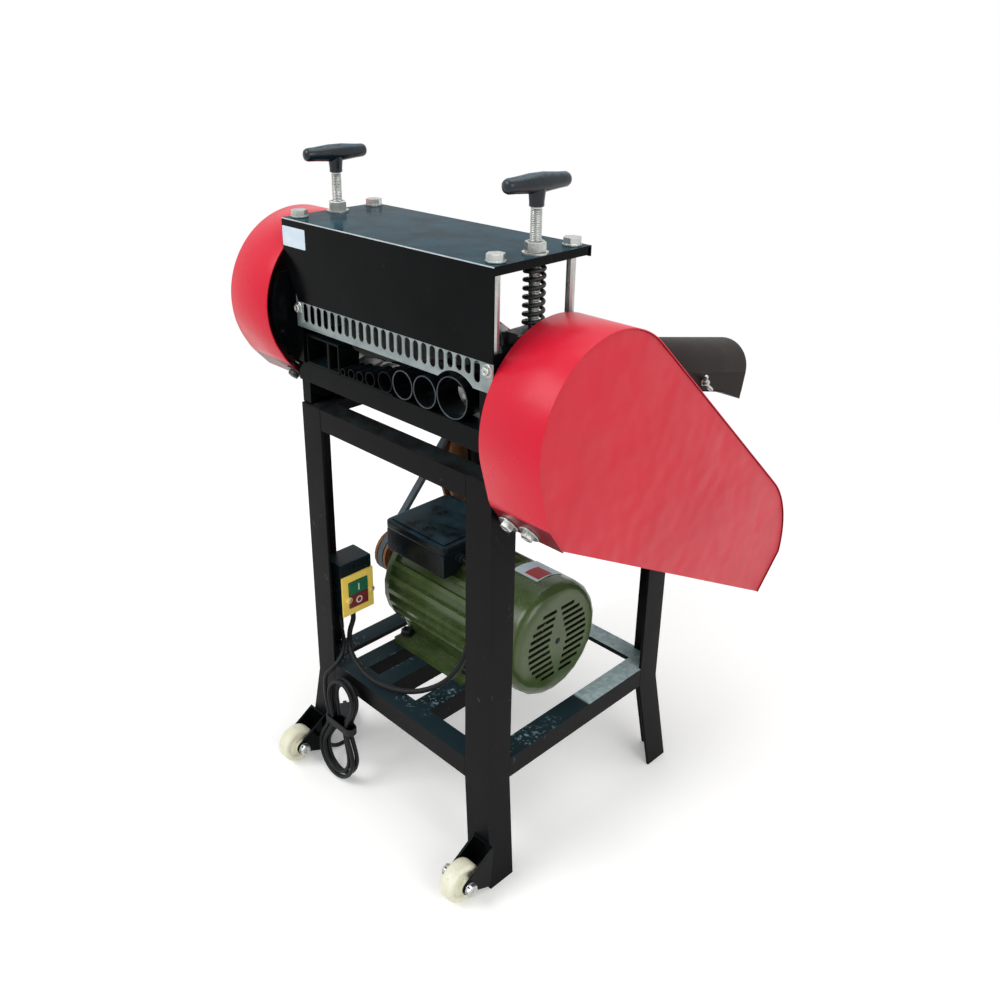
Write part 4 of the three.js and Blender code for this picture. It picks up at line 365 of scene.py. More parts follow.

# One dictionary for each finish, over the look they share; a scuff shows the worn colour, and faces that look
# up show the dust-and-sheen colour, which is dust on most finishes and a painted sheen on the bluish black
# ones
commonLook = {
    "amount": 0.7, "wear": 0.3, "wearEdge": 0.62, "dustAndSheenAmount": 0.2, "metal": 0, "grain": 0.3,
    "specular": 0.4, "stretch": (1, 1, 1), "scuffFineness": 5, "dustAndSheenFineness": 2.5, "dustAndSheenSlope": 0.55,
    "dustAndSheenRough": 0.5, "waveScale": 12,
}
finishes = {
    # painted highlight: the bluish dust-and-sheen colour on the head's upward faces stands in for blue-grey
    # highlights
    "headPaint": {
        "color": tone(5, 6, 7), "second": tone(12, 14, 15), "scale": 11, "amount": 0.6,
        "worn": tone(84, 86, 86), "wear": 0.35, "wearEdge": 0.66, "dust": tone(26, 42, 50),
        "dustAndSheenAmount": 0.5, "rough": (0.12, 0.24), "grain": 0.15, "grainScale": 700, "wave": 0.05,
        "specular": 0.06,
    },
    # painted reflection: the black sheet's upward faces get this blue-grey for the bluish reflection on them;
    # scuffs on it are wear
    "topPaintedReflection": {
        "color": tone(14, 40, 50), "second": tone(30, 68, 82), "scale": 24, "amount": 0.8,
        "worn": tone(98, 122, 130), "wear": 0.25, "wearEdge": 0.66, "dust": tone(54, 84, 96),
        "dustAndSheenAmount": 0.15, "rough": (0.05, 0.13), "grain": 0.1, "grainScale": 700, "wave": 0.06,
        "specular": 0.007,
    },
    # painted highlight: a pale strip on the fold along the front top edge, where a lamp shines back
    "foldPaintedHighlight": {
        "color": tone(196, 206, 208), "second": tone(150, 162, 166), "scale": 70, "amount": 0.6,
        "worn": tone(84, 96, 100), "wear": 0.4, "dust": tone(170, 178, 180), "dustAndSheenAmount": 0.1,
        "rough": (0.25, 0.36), "metal": 0.2, "grain": 0.2, "grainScale": 900, "wave": 0.02,
    },
    "chutePaint": {
        "color": tone(38, 32, 30), "second": tone(48, 42, 39), "scale": 14, "amount": 0.6,
        "worn": tone(96, 92, 88), "wearEdge": 0.67, "dust": tone(74, 68, 64), "dustAndSheenAmount": 0.25,
        "rough": (0.4, 0.54), "grainScale": 600, "wave": 0.08, "specular": 0.06,
    },
    "standPaint": {
        "color": tone(11, 10, 11), "second": tone(20, 17, 18), "scale": 16, "worn": tone(92, 92, 96),
        "wear": 0.45, "wearEdge": 0.65, "dust": tone(70, 84, 88), "dustAndSheenAmount": 0.25,
        "rough": (0.3, 0.46), "grainScale": 520, "wave": 0.05, "specular": 0.06,
    },
    "guardRed": {
        "color": tone(208, 26, 50), "second": tone(198, 32, 54), "scale": 7, "worn": tone(150, 24, 36),
        "wearEdge": 0.68, "dust": tone(226, 96, 106), "dustAndSheenAmount": 0.12, "rough": (0.22, 0.34),
        "grain": 0.2, "grainScale": 420, "wave": 0.16, "specular": 0.2,
    },
    "guardFace": {
        "color": tone(202, 44, 58), "second": tone(190, 56, 66), "scale": 6, "amount": 0.8,
        "worn": tone(160, 34, 46), "wearEdge": 0.68, "dust": tone(226, 108, 112), "dustAndSheenAmount": 0.12,
        "rough": (0.36, 0.5), "grain": 0.5, "grainScale": 380, "wave": 1, "specular": 0.2,
    },
    # painted shade: a dark red for the red paint inside the guard, where shade falls
    "guardInsidePaintedShade": {
        "color": tone(46, 12, 16), "second": tone(60, 16, 20), "scale": 9, "worn": tone(90, 40, 42),
        "wearEdge": 0.66, "dust": tone(84, 60, 60), "rough": (0.45, 0.6), "grainScale": 420, "wave": 0.1,
        "specular": 0.1,
    },
    # painted shade: a darker red for the guard's flange below the crease, which faces down into shadow
    "guardFlangePaintedShade": {
        "color": tone(118, 12, 26), "second": tone(104, 16, 28), "scale": 9, "worn": tone(120, 20, 30),
        "wearEdge": 0.66, "dust": tone(190, 80, 88), "dustAndSheenAmount": 0.1, "rough": (0.24, 0.36),
        "grain": 0.2, "grainScale": 420, "wave": 0.16, "specular": 0.2,
    },
    "motorGreen": {
        "color": tone(58, 74, 38), "second": tone(76, 92, 54), "scale": 26, "worn": tone(140, 150, 118),
        "wear": 0.4, "wearEdge": 0.67, "dust": tone(124, 140, 104), "dustAndSheenAmount": 0.18,
        "rough": (0.14, 0.26), "grain": 0.35, "grainScale": 260, "wave": 0.08,
    },
    # painted sheen: the bluish dust-and-sheen colour on the boxes' upward faces stands in for a bluish sheen
    # on the black plastic
    "boxPlastic": {
        "color": tone(12, 17, 20), "second": tone(22, 34, 40), "scale": 9, "amount": 0.6,
        "worn": tone(70, 84, 90), "wear": 0.1, "wearEdge": 0.7, "dust": tone(48, 80, 92),
        "dustAndSheenAmount": 0.7, "rough": (0.16, 0.3), "grainScale": 800, "wave": 0.1, "specular": 0.12,
    },
    # painted highlight: the bluish dust-and-sheen colour on the handles' upward faces stands in for bluish
    # highlights
    "handlePlastic": {
        "color": tone(12, 20, 25), "second": tone(20, 34, 42), "scale": 60, "worn": tone(80, 102, 112),
        "wear": 0.25, "wearEdge": 0.67, "dust": tone(52, 98, 118), "dustAndSheenAmount": 0.85,
        "rough": (0.16, 0.26), "grainScale": 900, "wave": 0.04,
    },
    "zincPlate": {
        "color": tone(196, 198, 194), "second": tone(168, 172, 170), "scale": 90, "amount": 0.8,
        "worn": tone(126, 116, 96), "wear": 0.5, "dust": tone(150, 148, 138), "rough": (0.24, 0.4),
        "metal": 0.9, "grainScale": 1200, "wave": 0.02, "specular": 0.5,
    },
    "turnedSteel": {
        "color": tone(158, 160, 158), "second": tone(122, 124, 124), "scale": 40, "amount": 0.8,
        "worn": tone(96, 84, 70), "wear": 0.6, "wearEdge": 0.6, "dust": tone(96, 92, 84),
        "dustAndSheenAmount": 0.3, "rough": (0.28, 0.46), "metal": 0.9, "grain": 0.4, "grainScale": 700,
        "wave": 0.02, "specular": 0.5, "stretch": (12, 1, 1),
    },
    "combAluminium": {
        "color": tone(146, 156, 156), "second": tone(116, 128, 130), "scale": 60,
        "worn": tone(92, 98, 98), "wear": 0.6, "wearEdge": 0.6, "dust": tone(150, 158, 158),
        "rough": (0.3, 0.46), "metal": 0.7, "grain": 0.5, "grainScale": 500, "wave": 0.02,
        "specular": 0.5, "stretch": (0.05, 1, 1),
    },
    # painted highlight: a paler aluminium on the comb's edge and window faces, for the bright light along
    # them
    "combEdgePaintedHighlight": {
        "color": tone(206, 214, 210), "second": tone(184, 194, 192), "scale": 60,
        "worn": tone(138, 142, 140), "wear": 0.4, "dust": tone(190, 194, 190), "rough": (0.3, 0.46),
        "metal": 0.5, "grain": 0.4, "grainScale": 500, "wave": 0.02, "specular": 0.5,
        "stretch": (0.05, 1, 1),
    },
    # a paler grey for the front rim faces of the guide tubes
    "paleRim": {
        "color": tone(74, 80, 84), "second": tone(52, 58, 62), "scale": 90, "amount": 0.8,
        "worn": tone(40, 42, 44), "wear": 0.5, "wearEdge": 0.6, "dust": tone(110, 112, 112),
        "dustAndSheenAmount": 0.1, "rough": (0.32, 0.46), "metal": 0.6, "grain": 0.4, "grainScale": 900,
        "wave": 0.02,
    },
    "springSteel": {
        "color": tone(20, 21, 23), "second": tone(38, 40, 42), "scale": 120, "worn": tone(110, 112, 112),
        "wear": 0.5, "dust": tone(90, 92, 92), "rough": (0.3, 0.45), "metal": 0.3, "grain": 0.4,
        "grainScale": 900, "wave": 0.02, "specular": 0.5,
    },
    "castPulley": {
        "color": tone(124, 78, 34), "second": tone(92, 58, 30), "scale": 34, "amount": 0.9,
        "worn": tone(162, 132, 76), "wear": 0.6, "wearEdge": 0.58, "dust": tone(134, 112, 82),
        "dustAndSheenAmount": 0.3, "rough": (0.5, 0.7), "metal": 0.25, "grain": 0.9, "grainScale": 240,
        "wave": 0.12,
    },
    "beltRubber": {
        "color": tone(58, 68, 74), "second": tone(82, 94, 100), "scale": 40, "amount": 0.8,
        "worn": tone(132, 138, 140), "wear": 0.6, "wearEdge": 0.6, "dust": tone(104, 106, 106),
        "dustAndSheenAmount": 0.3, "rough": (0.55, 0.75), "grain": 0.8, "grainScale": 700, "wave": 0.02,
        "specular": 0.3,
    },
    "leadRubber": {
        "color": tone(10, 12, 14), "second": tone(20, 23, 26), "scale": 70, "worn": tone(84, 94, 100),
        "wearEdge": 0.64, "dust": tone(80, 82, 84), "rough": (0.36, 0.52), "grain": 0.5,
        "grainScale": 1100, "wave": 0.03, "specular": 0.2,
    },
    "wheelNylon": {
        "color": tone(236, 236, 216), "second": tone(218, 214, 186), "scale": 50, "amount": 0.8,
        "worn": tone(150, 142, 118), "wear": 0.6, "wearEdge": 0.6, "dust": tone(196, 188, 158),
        "dustAndSheenAmount": 0.3, "rough": (0.4, 0.55), "grain": 0.4, "grainScale": 600, "wave": 0.05,
        "specular": 0.45,
    },
    "bezelYellow": {
        "color": tone(255, 226, 108), "second": tone(252, 214, 92), "scale": 90,
        "worn": tone(166, 126, 44), "wearEdge": 0.64, "dust": tone(206, 182, 110), "rough": (0.36, 0.5),
        "grain": 0.4, "grainScale": 900, "wave": 0.04, "specular": 0.45,
    },
    "keyGreen": {
        "color": tone(24, 108, 74), "second": tone(18, 86, 60), "scale": 130, "worn": tone(92, 150, 124),
        "wearEdge": 0.64, "dust": tone(90, 130, 112), "rough": (0.3, 0.44), "grainScale": 1000,
        "wave": 0.04, "specular": 0.5,
    },
    "keyRed": {
        "color": tone(128, 36, 40), "second": tone(98, 28, 34), "scale": 130, "worn": tone(170, 96, 92),
        "wearEdge": 0.64, "dust": tone(150, 92, 88), "rough": (0.3, 0.44), "grainScale": 1000,
        "wave": 0.04, "specular": 0.5,
    },
    "markWhite": {
        "color": tone(232, 232, 226), "second": tone(212, 212, 206), "scale": 160, "amount": 0.6,
        "worn": tone(170, 168, 160), "wear": 0.4, "dust": tone(190, 188, 180), "rough": (0.4, 0.55),
        "grainScale": 1200, "wave": 0.03,
    },
    "blankLabel": {
        "color": tone(206, 222, 232), "second": tone(190, 206, 218), "scale": 60, "amount": 0.6,
        "worn": tone(150, 160, 168), "wear": 0.35, "dust": tone(186, 196, 200), "dustAndSheenAmount": 0.1,
        "rough": (0.4, 0.5), "grain": 0.2, "grainScale": 1500, "wave": 0.05,
    },
    "labelRed": {
        "color": tone(178, 44, 48), "second": tone(160, 40, 46), "scale": 60, "amount": 0.6,
        "worn": tone(206, 150, 150), "wear": 0.35, "dust": tone(186, 110, 110), "dustAndSheenAmount": 0.1,
        "rough": (0.4, 0.5), "grain": 0.2, "grainScale": 1500, "wave": 0.05,
    },
    "tieWrap": {
        "color": tone(14, 14, 16), "second": tone(26, 26, 30), "scale": 200, "worn": tone(70, 72, 76),
        "dust": tone(64, 66, 68), "dustAndSheenAmount": 0.1, "rough": (0.5, 0.7), "grain": 0.9,
        "grainScale": 1600, "wave": 0.05, "specular": 0.3,
    },
}


def groupNode(tree, key, **values):
    node = tree.nodes.new("ShaderNodeGroup")
    node.node_tree = groups[key]
    for label, value in values.items():
        feed(tree, value, node.inputs[label])
    return node


def makeFinish(name):
    look = {**commonLook, **finishes[name]}
    material = bpy.data.materials.new(name)
    material.use_nodes = True
    tree = material.node_tree
    shader = tree.nodes["Principled BSDF"]
    scale, stretch = look["scale"], look["stretch"]
    mottle = groupNode(
        tree, "mottle", Color=look["color"], Second=look["second"], Scale=scale, Amount=look["amount"],
    )
    scuffs = groupNode(
        tree, "scuffs", Stretch=stretch, Scale=scale * look["scuffFineness"], Edge=look["wearEdge"],
        Amount=look["wear"],
    )
    dust = groupNode(
        tree, "dust", Scale=scale * look["dustAndSheenFineness"], Steepness=look["dustAndSheenSlope"],
        Amount=look["dustAndSheenAmount"],
    )
    skin = groupNode(
        tree, "skin", GrainScale=look["grainScale"], Grain=look["grain"], WaveScale=look["waveScale"],
        Wave=look["wave"], Stretch=stretch,
    )
    worn = blended(tree, scuffs.outputs["Mask"], mottle.outputs["Color"], look["worn"])
    dustedAndSheened = blended(tree, dust.outputs["Mask"], worn, look["dust"])
    low, high = look["rough"]
    rough = ranged(tree, mottle.outputs["Mask"], 0, 1, low, high)
    rough = maths(tree, "ADD", rough, maths(tree, "MULTIPLY", dust.outputs["Mask"], look["dustAndSheenRough"]))
    tree.links.new(dustedAndSheened, shader.inputs["Base Color"])
    tree.links.new(rough, shader.inputs["Roughness"])
    tree.links.new(skin.outputs["Normal"], shader.inputs["Normal"])
    shader.inputs["Metallic"].default_value = look["metal"]
    shader.inputs["Specular IOR Level"].default_value = look["specular"]
    return material


shelf = {
    "pale": tone(190, 208, 210), "paleSecond": tone(158, 180, 184), "dark": tone(30, 46, 52),
    "flake": tone(120, 142, 148), "flakeScale": 230, "flakeEdge": (0.56, 0.6), "patchScale": 16,
    "patchEdge": (0.5, 0.6), "topSlope": (0.85, 0.95), "change": 20, "changeWidth": 4, "spangleScale": 210,
}


def makeShelfFinish():
    # black paint below; the tops are rubbed and flaking at the front, and bare zinc behind the line of change
    material = makeFinish("standPaint")
    material.name = "shelfPaint"
    tree = material.node_tree
    shader = tree.nodes["Principled BSDF"]
    spangle = groupNode(
        tree, "spangle", Pale=shelf["pale"], Dark=shelf["paleSecond"], Scale=shelf["spangleScale"],
    )
    flakes = ranged(
        tree, objectNoise(tree, shelf["flakeScale"], 5, None, (-900, -500)), *shelf["flakeEdge"],
    )
    patches = ranged(
        tree, objectNoise(tree, shelf["patchScale"], 3, None, (-900, -800)), *shelf["patchEdge"],
    )
    rubbed = blended(tree, maths(tree, "MULTIPLY", flakes, patches), shelf["dark"], shelf["flake"])
    where = tree.nodes.new("ShaderNodeTexCoord")
    parts = tree.nodes.new("ShaderNodeSeparateXYZ")
    tree.links.new(where.outputs["Object"], parts.inputs["Vector"])
    line = place(0, shelf["change"], 0).y
    spread = shelf["changeWidth"] / 2000
    behind = ranged(tree, parts.outputs["Y"], line - spread, line + spread)
    upper = tree.nodes.new("ShaderNodeSeparateXYZ")
    tree.links.new(where.outputs["Normal"], upper.inputs["Vector"])
    tops = ranged(tree, upper.outputs["Z"], *shelf["topSlope"])
    before = shader.inputs["Base Color"].links[0].from_socket
    bare = blended(tree, behind, rubbed, spangle.outputs["Color"])
    tree.links.new(blended(tree, tops, before, bare), shader.inputs["Base Color"])
    return material


materials = {name: makeFinish(name) for name in finishes}
materials["shelfPaint"] = makeShelfFinish()

# Modelling helpers


def clearSelection():
    active = bpy.context.view_layer.objects.active
    if active and active.mode != "OBJECT":
        bpy.ops.object.mode_set(mode="OBJECT")
    bpy.ops.object.select_all(action="DESELECT")


def choose(piece):
    clearSelection()
    piece.select_set(True)
    bpy.context.view_layer.objects.active = piece


def editAll(piece):
    choose(piece)
    bpy.ops.object.mode_set(mode="EDIT")
    bpy.ops.mesh.select_mode(type="VERT")
    bpy.ops.mesh.select_all(action="SELECT")


def editFaces(piece, wanted):
    choose(piece)
    bpy.ops.object.mode_set(mode="EDIT")
    bpy.ops.mesh.select_mode(type="FACE")
    bpy.ops.mesh.select_all(action="DESELECT")
    bpy.ops.object.mode_set(mode="OBJECT")
    for face in piece.data.polygons:
        face.select = bool(wanted(face.center * 1000, face.normal))
    bpy.ops.object.mode_set(mode="EDIT")


def leaveEdit():
    bpy.ops.object.mode_set(mode="OBJECT")


def settle(piece):
    choose(piece)
    bpy.ops.object.transform_apply(location=True, rotation=True, scale=True)


def smooth(piece, angle=34):
    choose(piece)
    bpy.ops.object.shade_smooth_by_angle(angle=math.radians(angle))


def evened(piece):
    # wide flat faces keep their own normal beside their rounded edges
    choose(piece)
    weigh = piece.modifiers.new("flats", "WEIGHTED_NORMAL")
    weigh.keep_sharp = True
    bpy.ops.object.modifier_apply(modifier=weigh.name)


def rounded(piece, width, segments=2, angle=38):
    choose(piece)
    bevel = piece.modifiers.new("edges", "BEVEL")
    bevel.width = width / 1000
    bevel.segments = segments
    bevel.limit_method = "ANGLE"
    bevel.angle_limit = math.radians(angle)
    bevel.use_clamp_overlap = True
    bevel.harden_normals = False
    bpy.ops.object.modifier_apply(modifier=bevel.name)


def joined(name, pieces):
    clearSelection()
    for piece in pieces:
        piece.select_set(True)
    bpy.context.view_layer.objects.active = pieces[0]
    bpy.ops.object.join()
    pieces[0].name = pieces[0].data.name = name
    return pieces[0]


def keep(piece, body, finish, slot=None, *replaced):
    piece.data.materials.clear()
    piece.data.materials.append(materials[finish])
    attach(piece, body)
    if replaced:
        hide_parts(*replaced)
    return piece


def second(piece, finish, wanted):
    # another finish on the faces that are picked by their place in millimetres and their normal
    piece.data.materials.append(materials[finish])
    last = len(piece.data.materials) - 1
    for face in piece.data.polygons:
        if wanted(face.center * 1000, face.normal):
            face.material_index = last
    return piece


turns = {"Z": (0, 0, 0), "X": (0, math.radians(90), 0), "Y": (math.radians(-90), 0, 0)}


def turned(name, profile, axis, centre, sides=32, open=False):
    # rings of (radius, distance along the axis) drawn out from one another; centre is where distance 0 lies
    clearSelection()
    first, start = profile[0]
    cap = "NOTHING" if open else "NGON"
    bpy.ops.mesh.primitive_circle_add(
        vertices=sides, radius=max(first, 0.01) / 1000, fill_type=cap, location=(0, 0, start / 1000),
    )
    piece = bpy.context.active_object
    piece.name = piece.data.name = name
    settle(piece)
    editAll(piece)
    before = (max(first, 0.01), start)
    for radius, along in profile[1:]:
        radius = max(radius, 0.01)
        bpy.ops.mesh.extrude_region_move(
            TRANSFORM_OT_translate={"value": (0, 0, (along - before[1]) / 1000)},
        )
        share = radius / before[0]
        bpy.ops.transform.resize(value=(share, share, 1), center_override=(0, 0, 0))
        before = (radius, along)
    bpy.ops.mesh.select_all(action="SELECT")
    bpy.ops.mesh.remove_doubles(threshold=0.00002)
    bpy.ops.mesh.normals_make_consistent(inside=False)
    leaveEdit()
    piece.rotation_euler = turns[axis]
    settle(piece)
    piece.location = place(*centre)
    settle(piece)
    return piece


def outlined(name, outline, axis, start, end):
    # a flat outline drawn out along an axis; along X it is (y, z), along Y (x, z), along Z (x, y)
    clearSelection()
    bpy.ops.mesh.primitive_circle_add(vertices=len(outline), radius=0.1, fill_type="NGON")
    piece = bpy.context.active_object
    piece.name = piece.data.name = name
    for vertex, (a, b) in zip(piece.data.vertices, outline):
        spot = {"X": (start, a, b), "Y": (a, start, b), "Z": (a, b, start)}[axis]
        vertex.co = place(*spot)
    way = {"X": (1, 0, 0), "Y": (0, 1, 0), "Z": (0, 0, 1)}[axis]
    editAll(piece)
    bpy.ops.mesh.extrude_region_move(TRANSFORM_OT_translate={"value": Vector(way) * (end - start) / 1000})
    bpy.ops.mesh.select_all(action="SELECT")
    bpy.ops.mesh.normals_make_consistent(inside=False)
    leaveEdit()
    return piece


def boxed(name, low, high):
    clearSelection()
    bpy.ops.mesh.primitive_cube_add(size=1)
    piece = bpy.context.active_object
    piece.name = piece.data.name = name
    piece.scale = [(b - a) / 1000 for a, b in zip(low, high)]
    piece.location = place(*[(a + b) / 2 for a, b in zip(low, high)])
    settle(piece)
    return piece


def cut(piece, *tools):
    for tool in tools:
        choose(piece)
        carve = piece.modifiers.new("carve", "BOOLEAN")
        carve.operation = "DIFFERENCE"
        carve.solver = "EXACT"
        carve.object = tool
        bpy.ops.object.modifier_apply(modifier=carve.name)
        bpy.data.objects.remove(tool, do_unlink=True)
    return piece


def dressed(node, finish, bevel, angle=34, segments=2, merged=True):
    # a merged copy of a node with its edges taken off
    words = node.split("_")
    name = words[0] + "".join(word.capitalize() for word in words[1:])
    piece = linked(name, nodes[node].data.copy())
    editAll(piece)
    bpy.ops.mesh.remove_doubles(threshold=0.00001)
    if merged:
        bpy.ops.mesh.dissolve_limited(angle_limit=math.radians(0.4))
    leaveEdit()
    bpy.ops.mesh.customdata_custom_splitnormals_clear()
    if bevel:
        rounded(piece, bevel, segments, angle)
    smooth(piece, angle)
    evened(piece)
    slot = nodes[node].data.materials[0].name if nodes[node].data.materials else None
    return keep(piece, bodyOf[node], finish, slot, node)


def arcPoints(a, b, radius, start, end, steps):
    angles = [math.radians(start + (end - start) * i / steps) for i in range(steps + 1)]
    return [(a + radius * math.cos(angle), b + radius * math.sin(angle)) for angle in angles]


def tubeAlong(name, points, radius, sides=4, taper=None):
    data = bpy.data.curves.new(name, "CURVE")
    data.dimensions = "3D"
    line = data.splines.new("POLY")
    line.points.add(len(points) - 1)
    for i, spot in enumerate(points):
        line.points[i].co = (*spot, 1)
        line.points[i].radius = taper[i] if taper else 1
    data.bevel_depth = radius / 1000
    data.bevel_resolution = sides
    data.use_fill_caps = True
    return linked(name, data)


def meshOf(piece):
    choose(piece)
    bpy.ops.object.convert(target="MESH")
    return piece


# Leads

print("stage: leads")

leads = {
    "motorDiameter": 7,
    "mainsDiameter": 6,
    "motorRoute": [
        (-136, -126, 219.7), (-136, -126, 210), (-132, -136, 194), (-111, -150, 179), (-62, -156, 165),
        (0, -143, 171.5), (34, -119, 189), (56, -104, 225), (60, -92, 268), (44, -74, 304), (23, -50, 321),
        (8, -40, 323), (-5.7, -40, 323),
    ],
    "mainsRoute": [
        (-150, -138, 219.7), (-150, -138, 209), (-143, -141, 196), (-129, -149, 184), (-121.5, -160, 172),
        (-122, -173.5, 160), (-129.5, -180.3, 148), (-131.4, -181.8, 136), (-131.4, -181.8, 129.9),
    ],
    "reliefLength": 24,
    "reliefWall": 2.4,
    "reliefTaper": 0.34,
}
hank = {
    "x": -98, "topY": -176, "lean": 15, "bottom": 4, "length": 126, "topRadius": 18, "footRadius": 26,
    "waist": 8, "waistHeight": 70, "step": 7.7, "layerPitch": 7.4, "turns": 2, "endTurns": 1.25,
    "tailRadius": 28, "tailTurnRadius": 24, "tailTurn": 62, "plugAxis": 10.3, "turnSteps": 72,
    "tailSteps": 12,
}
strap = {"wall": 1.4, "gap": 0.4, "height": 10, "cornerShare": 0.9}


def smoothRoute(points, steps):
    # centripetal curve through the points
    spots = [Vector(p) for p in points]
    spots = [2 * spots[0] - spots[1]] + spots + [2 * spots[-1] - spots[-2]]
    line = []
    for i in range(1, len(spots) - 2):
        p = spots[i - 1:i + 3]
        knots = [0]
        for a, b in zip(p, p[1:]):
            knots.append(knots[-1] + max((b - a).length, 1e-6) ** 0.5)
        for k in range(steps):
            t = knots[1] + (knots[2] - knots[1]) * k / steps
            def mixed(a, b, low, high):
                return a * ((high - t) / (high - low)) + b * ((t - low) / (high - low))
            a = [mixed(p[j], p[j + 1], knots[j], knots[j + 1]) for j in range(3)]
            b = [mixed(a[j], a[j + 1], knots[j], knots[j + 2]) for j in range(2)]
            line.append(mixed(b[0], b[1], knots[1], knots[2]))
    line.append(spots[-2])
    return line


def eased(t):
    return t * t * (3 - 2 * t)


def hankHalfWidth(height, offset):
    foot, top, waist = hank["footRadius"], hank["length"] - hank["topRadius"], hank["waistHeight"]
    if height < waist:
        wider, share = hank["footRadius"] - hank["waist"], (waist - height) / (waist - foot)
    else:
        wider, share = hank["topRadius"] - hank["waist"], (height - waist) / (top - waist)
    return offset + hank["waist"] + wider * eased(share)


def hankSpot(turn):
    # left run down, foot fold, right run up, top fold; each left run and foot fold steps one lead in or out
    halves = math.floor(2 * turn)
    ramp = 2 * turn - halves if halves % 2 == 0 else 1
    offset = hank["step"] * abs(halves // 2 + ramp - hank["turns"])
    phase = turn - math.floor(turn)
    foot, top = hank["footRadius"], hank["length"] - hank["topRadius"]
    if phase < 0.25:
        height = top + (foot - top) * phase / 0.25
        across = -hankHalfWidth(height, offset)
    elif phase < 0.5:
        angle = math.pi * (1 + (phase - 0.25) / 0.25)
        across, height = (foot + offset) * math.cos(angle), foot + (foot + offset) * math.sin(angle)
    elif phase < 0.75:
        height = foot + (top - foot) * (phase - 0.5) / 0.25
        across = hankHalfWidth(height, offset)
    else:
        angle = math.pi * (phase - 0.75) / 0.25
        across = (hank["topRadius"] + offset) * math.cos(angle)
        height = top + (hank["topRadius"] + offset) * math.sin(angle)
    layer = eased(min(max((turn - hank["turns"] + 0.5) / 0.25, 0), 1)) - 0.5
    y = hank["topY"] - hank["lean"] * (1 - height / hank["length"]) + layer * hank["layerPitch"]
    lift = hank["bottom"] + hank["step"] * (hank["turns"] + 1) / 2
    return Vector((hank["x"] + across, y, lift + height))


def hankRoute():
    total = hank["turns"] + hank["endTurns"]
    steps = round(total * hank["turnSteps"])
    loops = [hankSpot(total * i / steps) for i in range(steps)]
    last = hankSpot(total - 1e-9)
    tail = []
    tailSteps = hank["tailSteps"]
    for i in range(1, tailSteps + 1):
        angle = math.pi / 2 * i / tailSteps
        tail.append(
            last + Vector(
                (0, hank["tailRadius"] * (1 - math.cos(angle)), -hank["tailRadius"] * math.sin(angle)),
            ),
        )
    corner = tail[-1]
    turn = math.radians(hank["tailTurn"])
    for i in range(1, tailSteps + 1):
        angle, drop = turn * i / tailSteps, eased(i / tailSteps)
        x = corner.x - hank["tailTurnRadius"] * (1 - math.cos(angle))
        y = corner.y + hank["tailTurnRadius"] * math.sin(angle)
        tail.append(Vector((x, y, corner.z + (hank["plugAxis"] - corner.z) * drop)))
    end = tail[-1] + leads["mainsDiameter"] * Vector((-math.sin(turn), math.cos(turn), 0))
    return loops + [last] + tail + [end]


def lengthOf(points):
    return sum((b - a).length for a, b in zip(points, points[1:]))


def makeLeads():
    motorLine = [place(*p) for p in smoothRoute(leads["motorRoute"], 10)]
    motorLead = keep(
        tubeAlong("motorLead", motorLine, leads["motorDiameter"] / 2), "stand", "leadRubber", "rubber",
        "motor_lead",
    )
    line = smoothRoute(leads["mainsRoute"], 8) + hankRoute()
    mainsLine = [place(*p) for p in line]
    relief = tubeAlong("mainsRelief", *tapered(mainsLine, leads["reliefLength"]))
    relief = keep(meshOf(relief), "stand", "leadRubber", "rubber")
    tie = keep(hankTie(), "stand", "tieWrap", "rubber")
    plug = dressed("mains_plug", "leadRubber", 1.2, 40, 3)
    mainsLead = keep(
        tubeAlong("mainsLead", mainsLine, leads["mainsDiameter"] / 2), "stand", "leadRubber", "rubber",
        "mains_lead", "mains_hank",
    )
    print("motor lead", round(lengthOf(motorLine), 3), "m, mains lead", round(lengthOf(mainsLine), 3), "m")


def tapered(line, length):
    # the first stretch of the lead inside its moulded relief, thick at the gland and thin at its end
    points, radii, travelled = [line[0]], [], 0
    for a, b in zip(line, line[1:]):
        travelled += (b - a).length * 1000
        if travelled > length:
            break
        points.append(b)
    total = lengthOf(points)
    run = 0
    base = leads["mainsDiameter"] / 2 + leads["reliefWall"]
    for i, spot in enumerate(points):
        run += (spot - points[i - 1]).length if i else 0
        radii.append(1 - leads["reliefTaper"] * run / total)
    return points, base, 6, radii


def hankTie():
    # a soft strap round the waist of the hank
    around = leads["mainsDiameter"] / 2 + strap["gap"]
    half = (hank["waist"] + hank["step"] * hank["turns"] + around, hank["layerPitch"] / 2 + around)
    height = hank["waistHeight"]
    lift = hank["bottom"] + hank["step"] * (hank["turns"] + 1) / 2
    y = hank["topY"] - hank["lean"] * (1 - height / hank["length"])
    outline = []
    inner = []
    for corner, (sx, sy) in enumerate(((1, 1), (-1, 1), (-1, -1), (1, -1))):
        bend = half[1] * strap["cornerShare"]
        cx, cy = hank["x"] + sx * (half[0] - bend), y + sy * (half[1] - bend)
        outline += arcPoints(cx, cy, bend + strap["wall"], corner * 90, corner * 90 + 90, 5)
        inner += arcPoints(cx, cy, bend, corner * 90, corner * 90 + 90, 5)
    low, high = lift + height - strap["height"] / 2, lift + height + strap["height"] / 2
    piece = outlined("hankTie", outline + [outline[0]] + [inner[0]] + inner[::-1], "Z", low, high)
    editAll(piece)
    bpy.ops.mesh.remove_doubles(threshold=0.000001)
    leaveEdit()
    rounded(piece, 0.5, 2, 50)
    smooth(piece, 40)
    return piece


makeLeads()

# Guards

print("stage: guards")

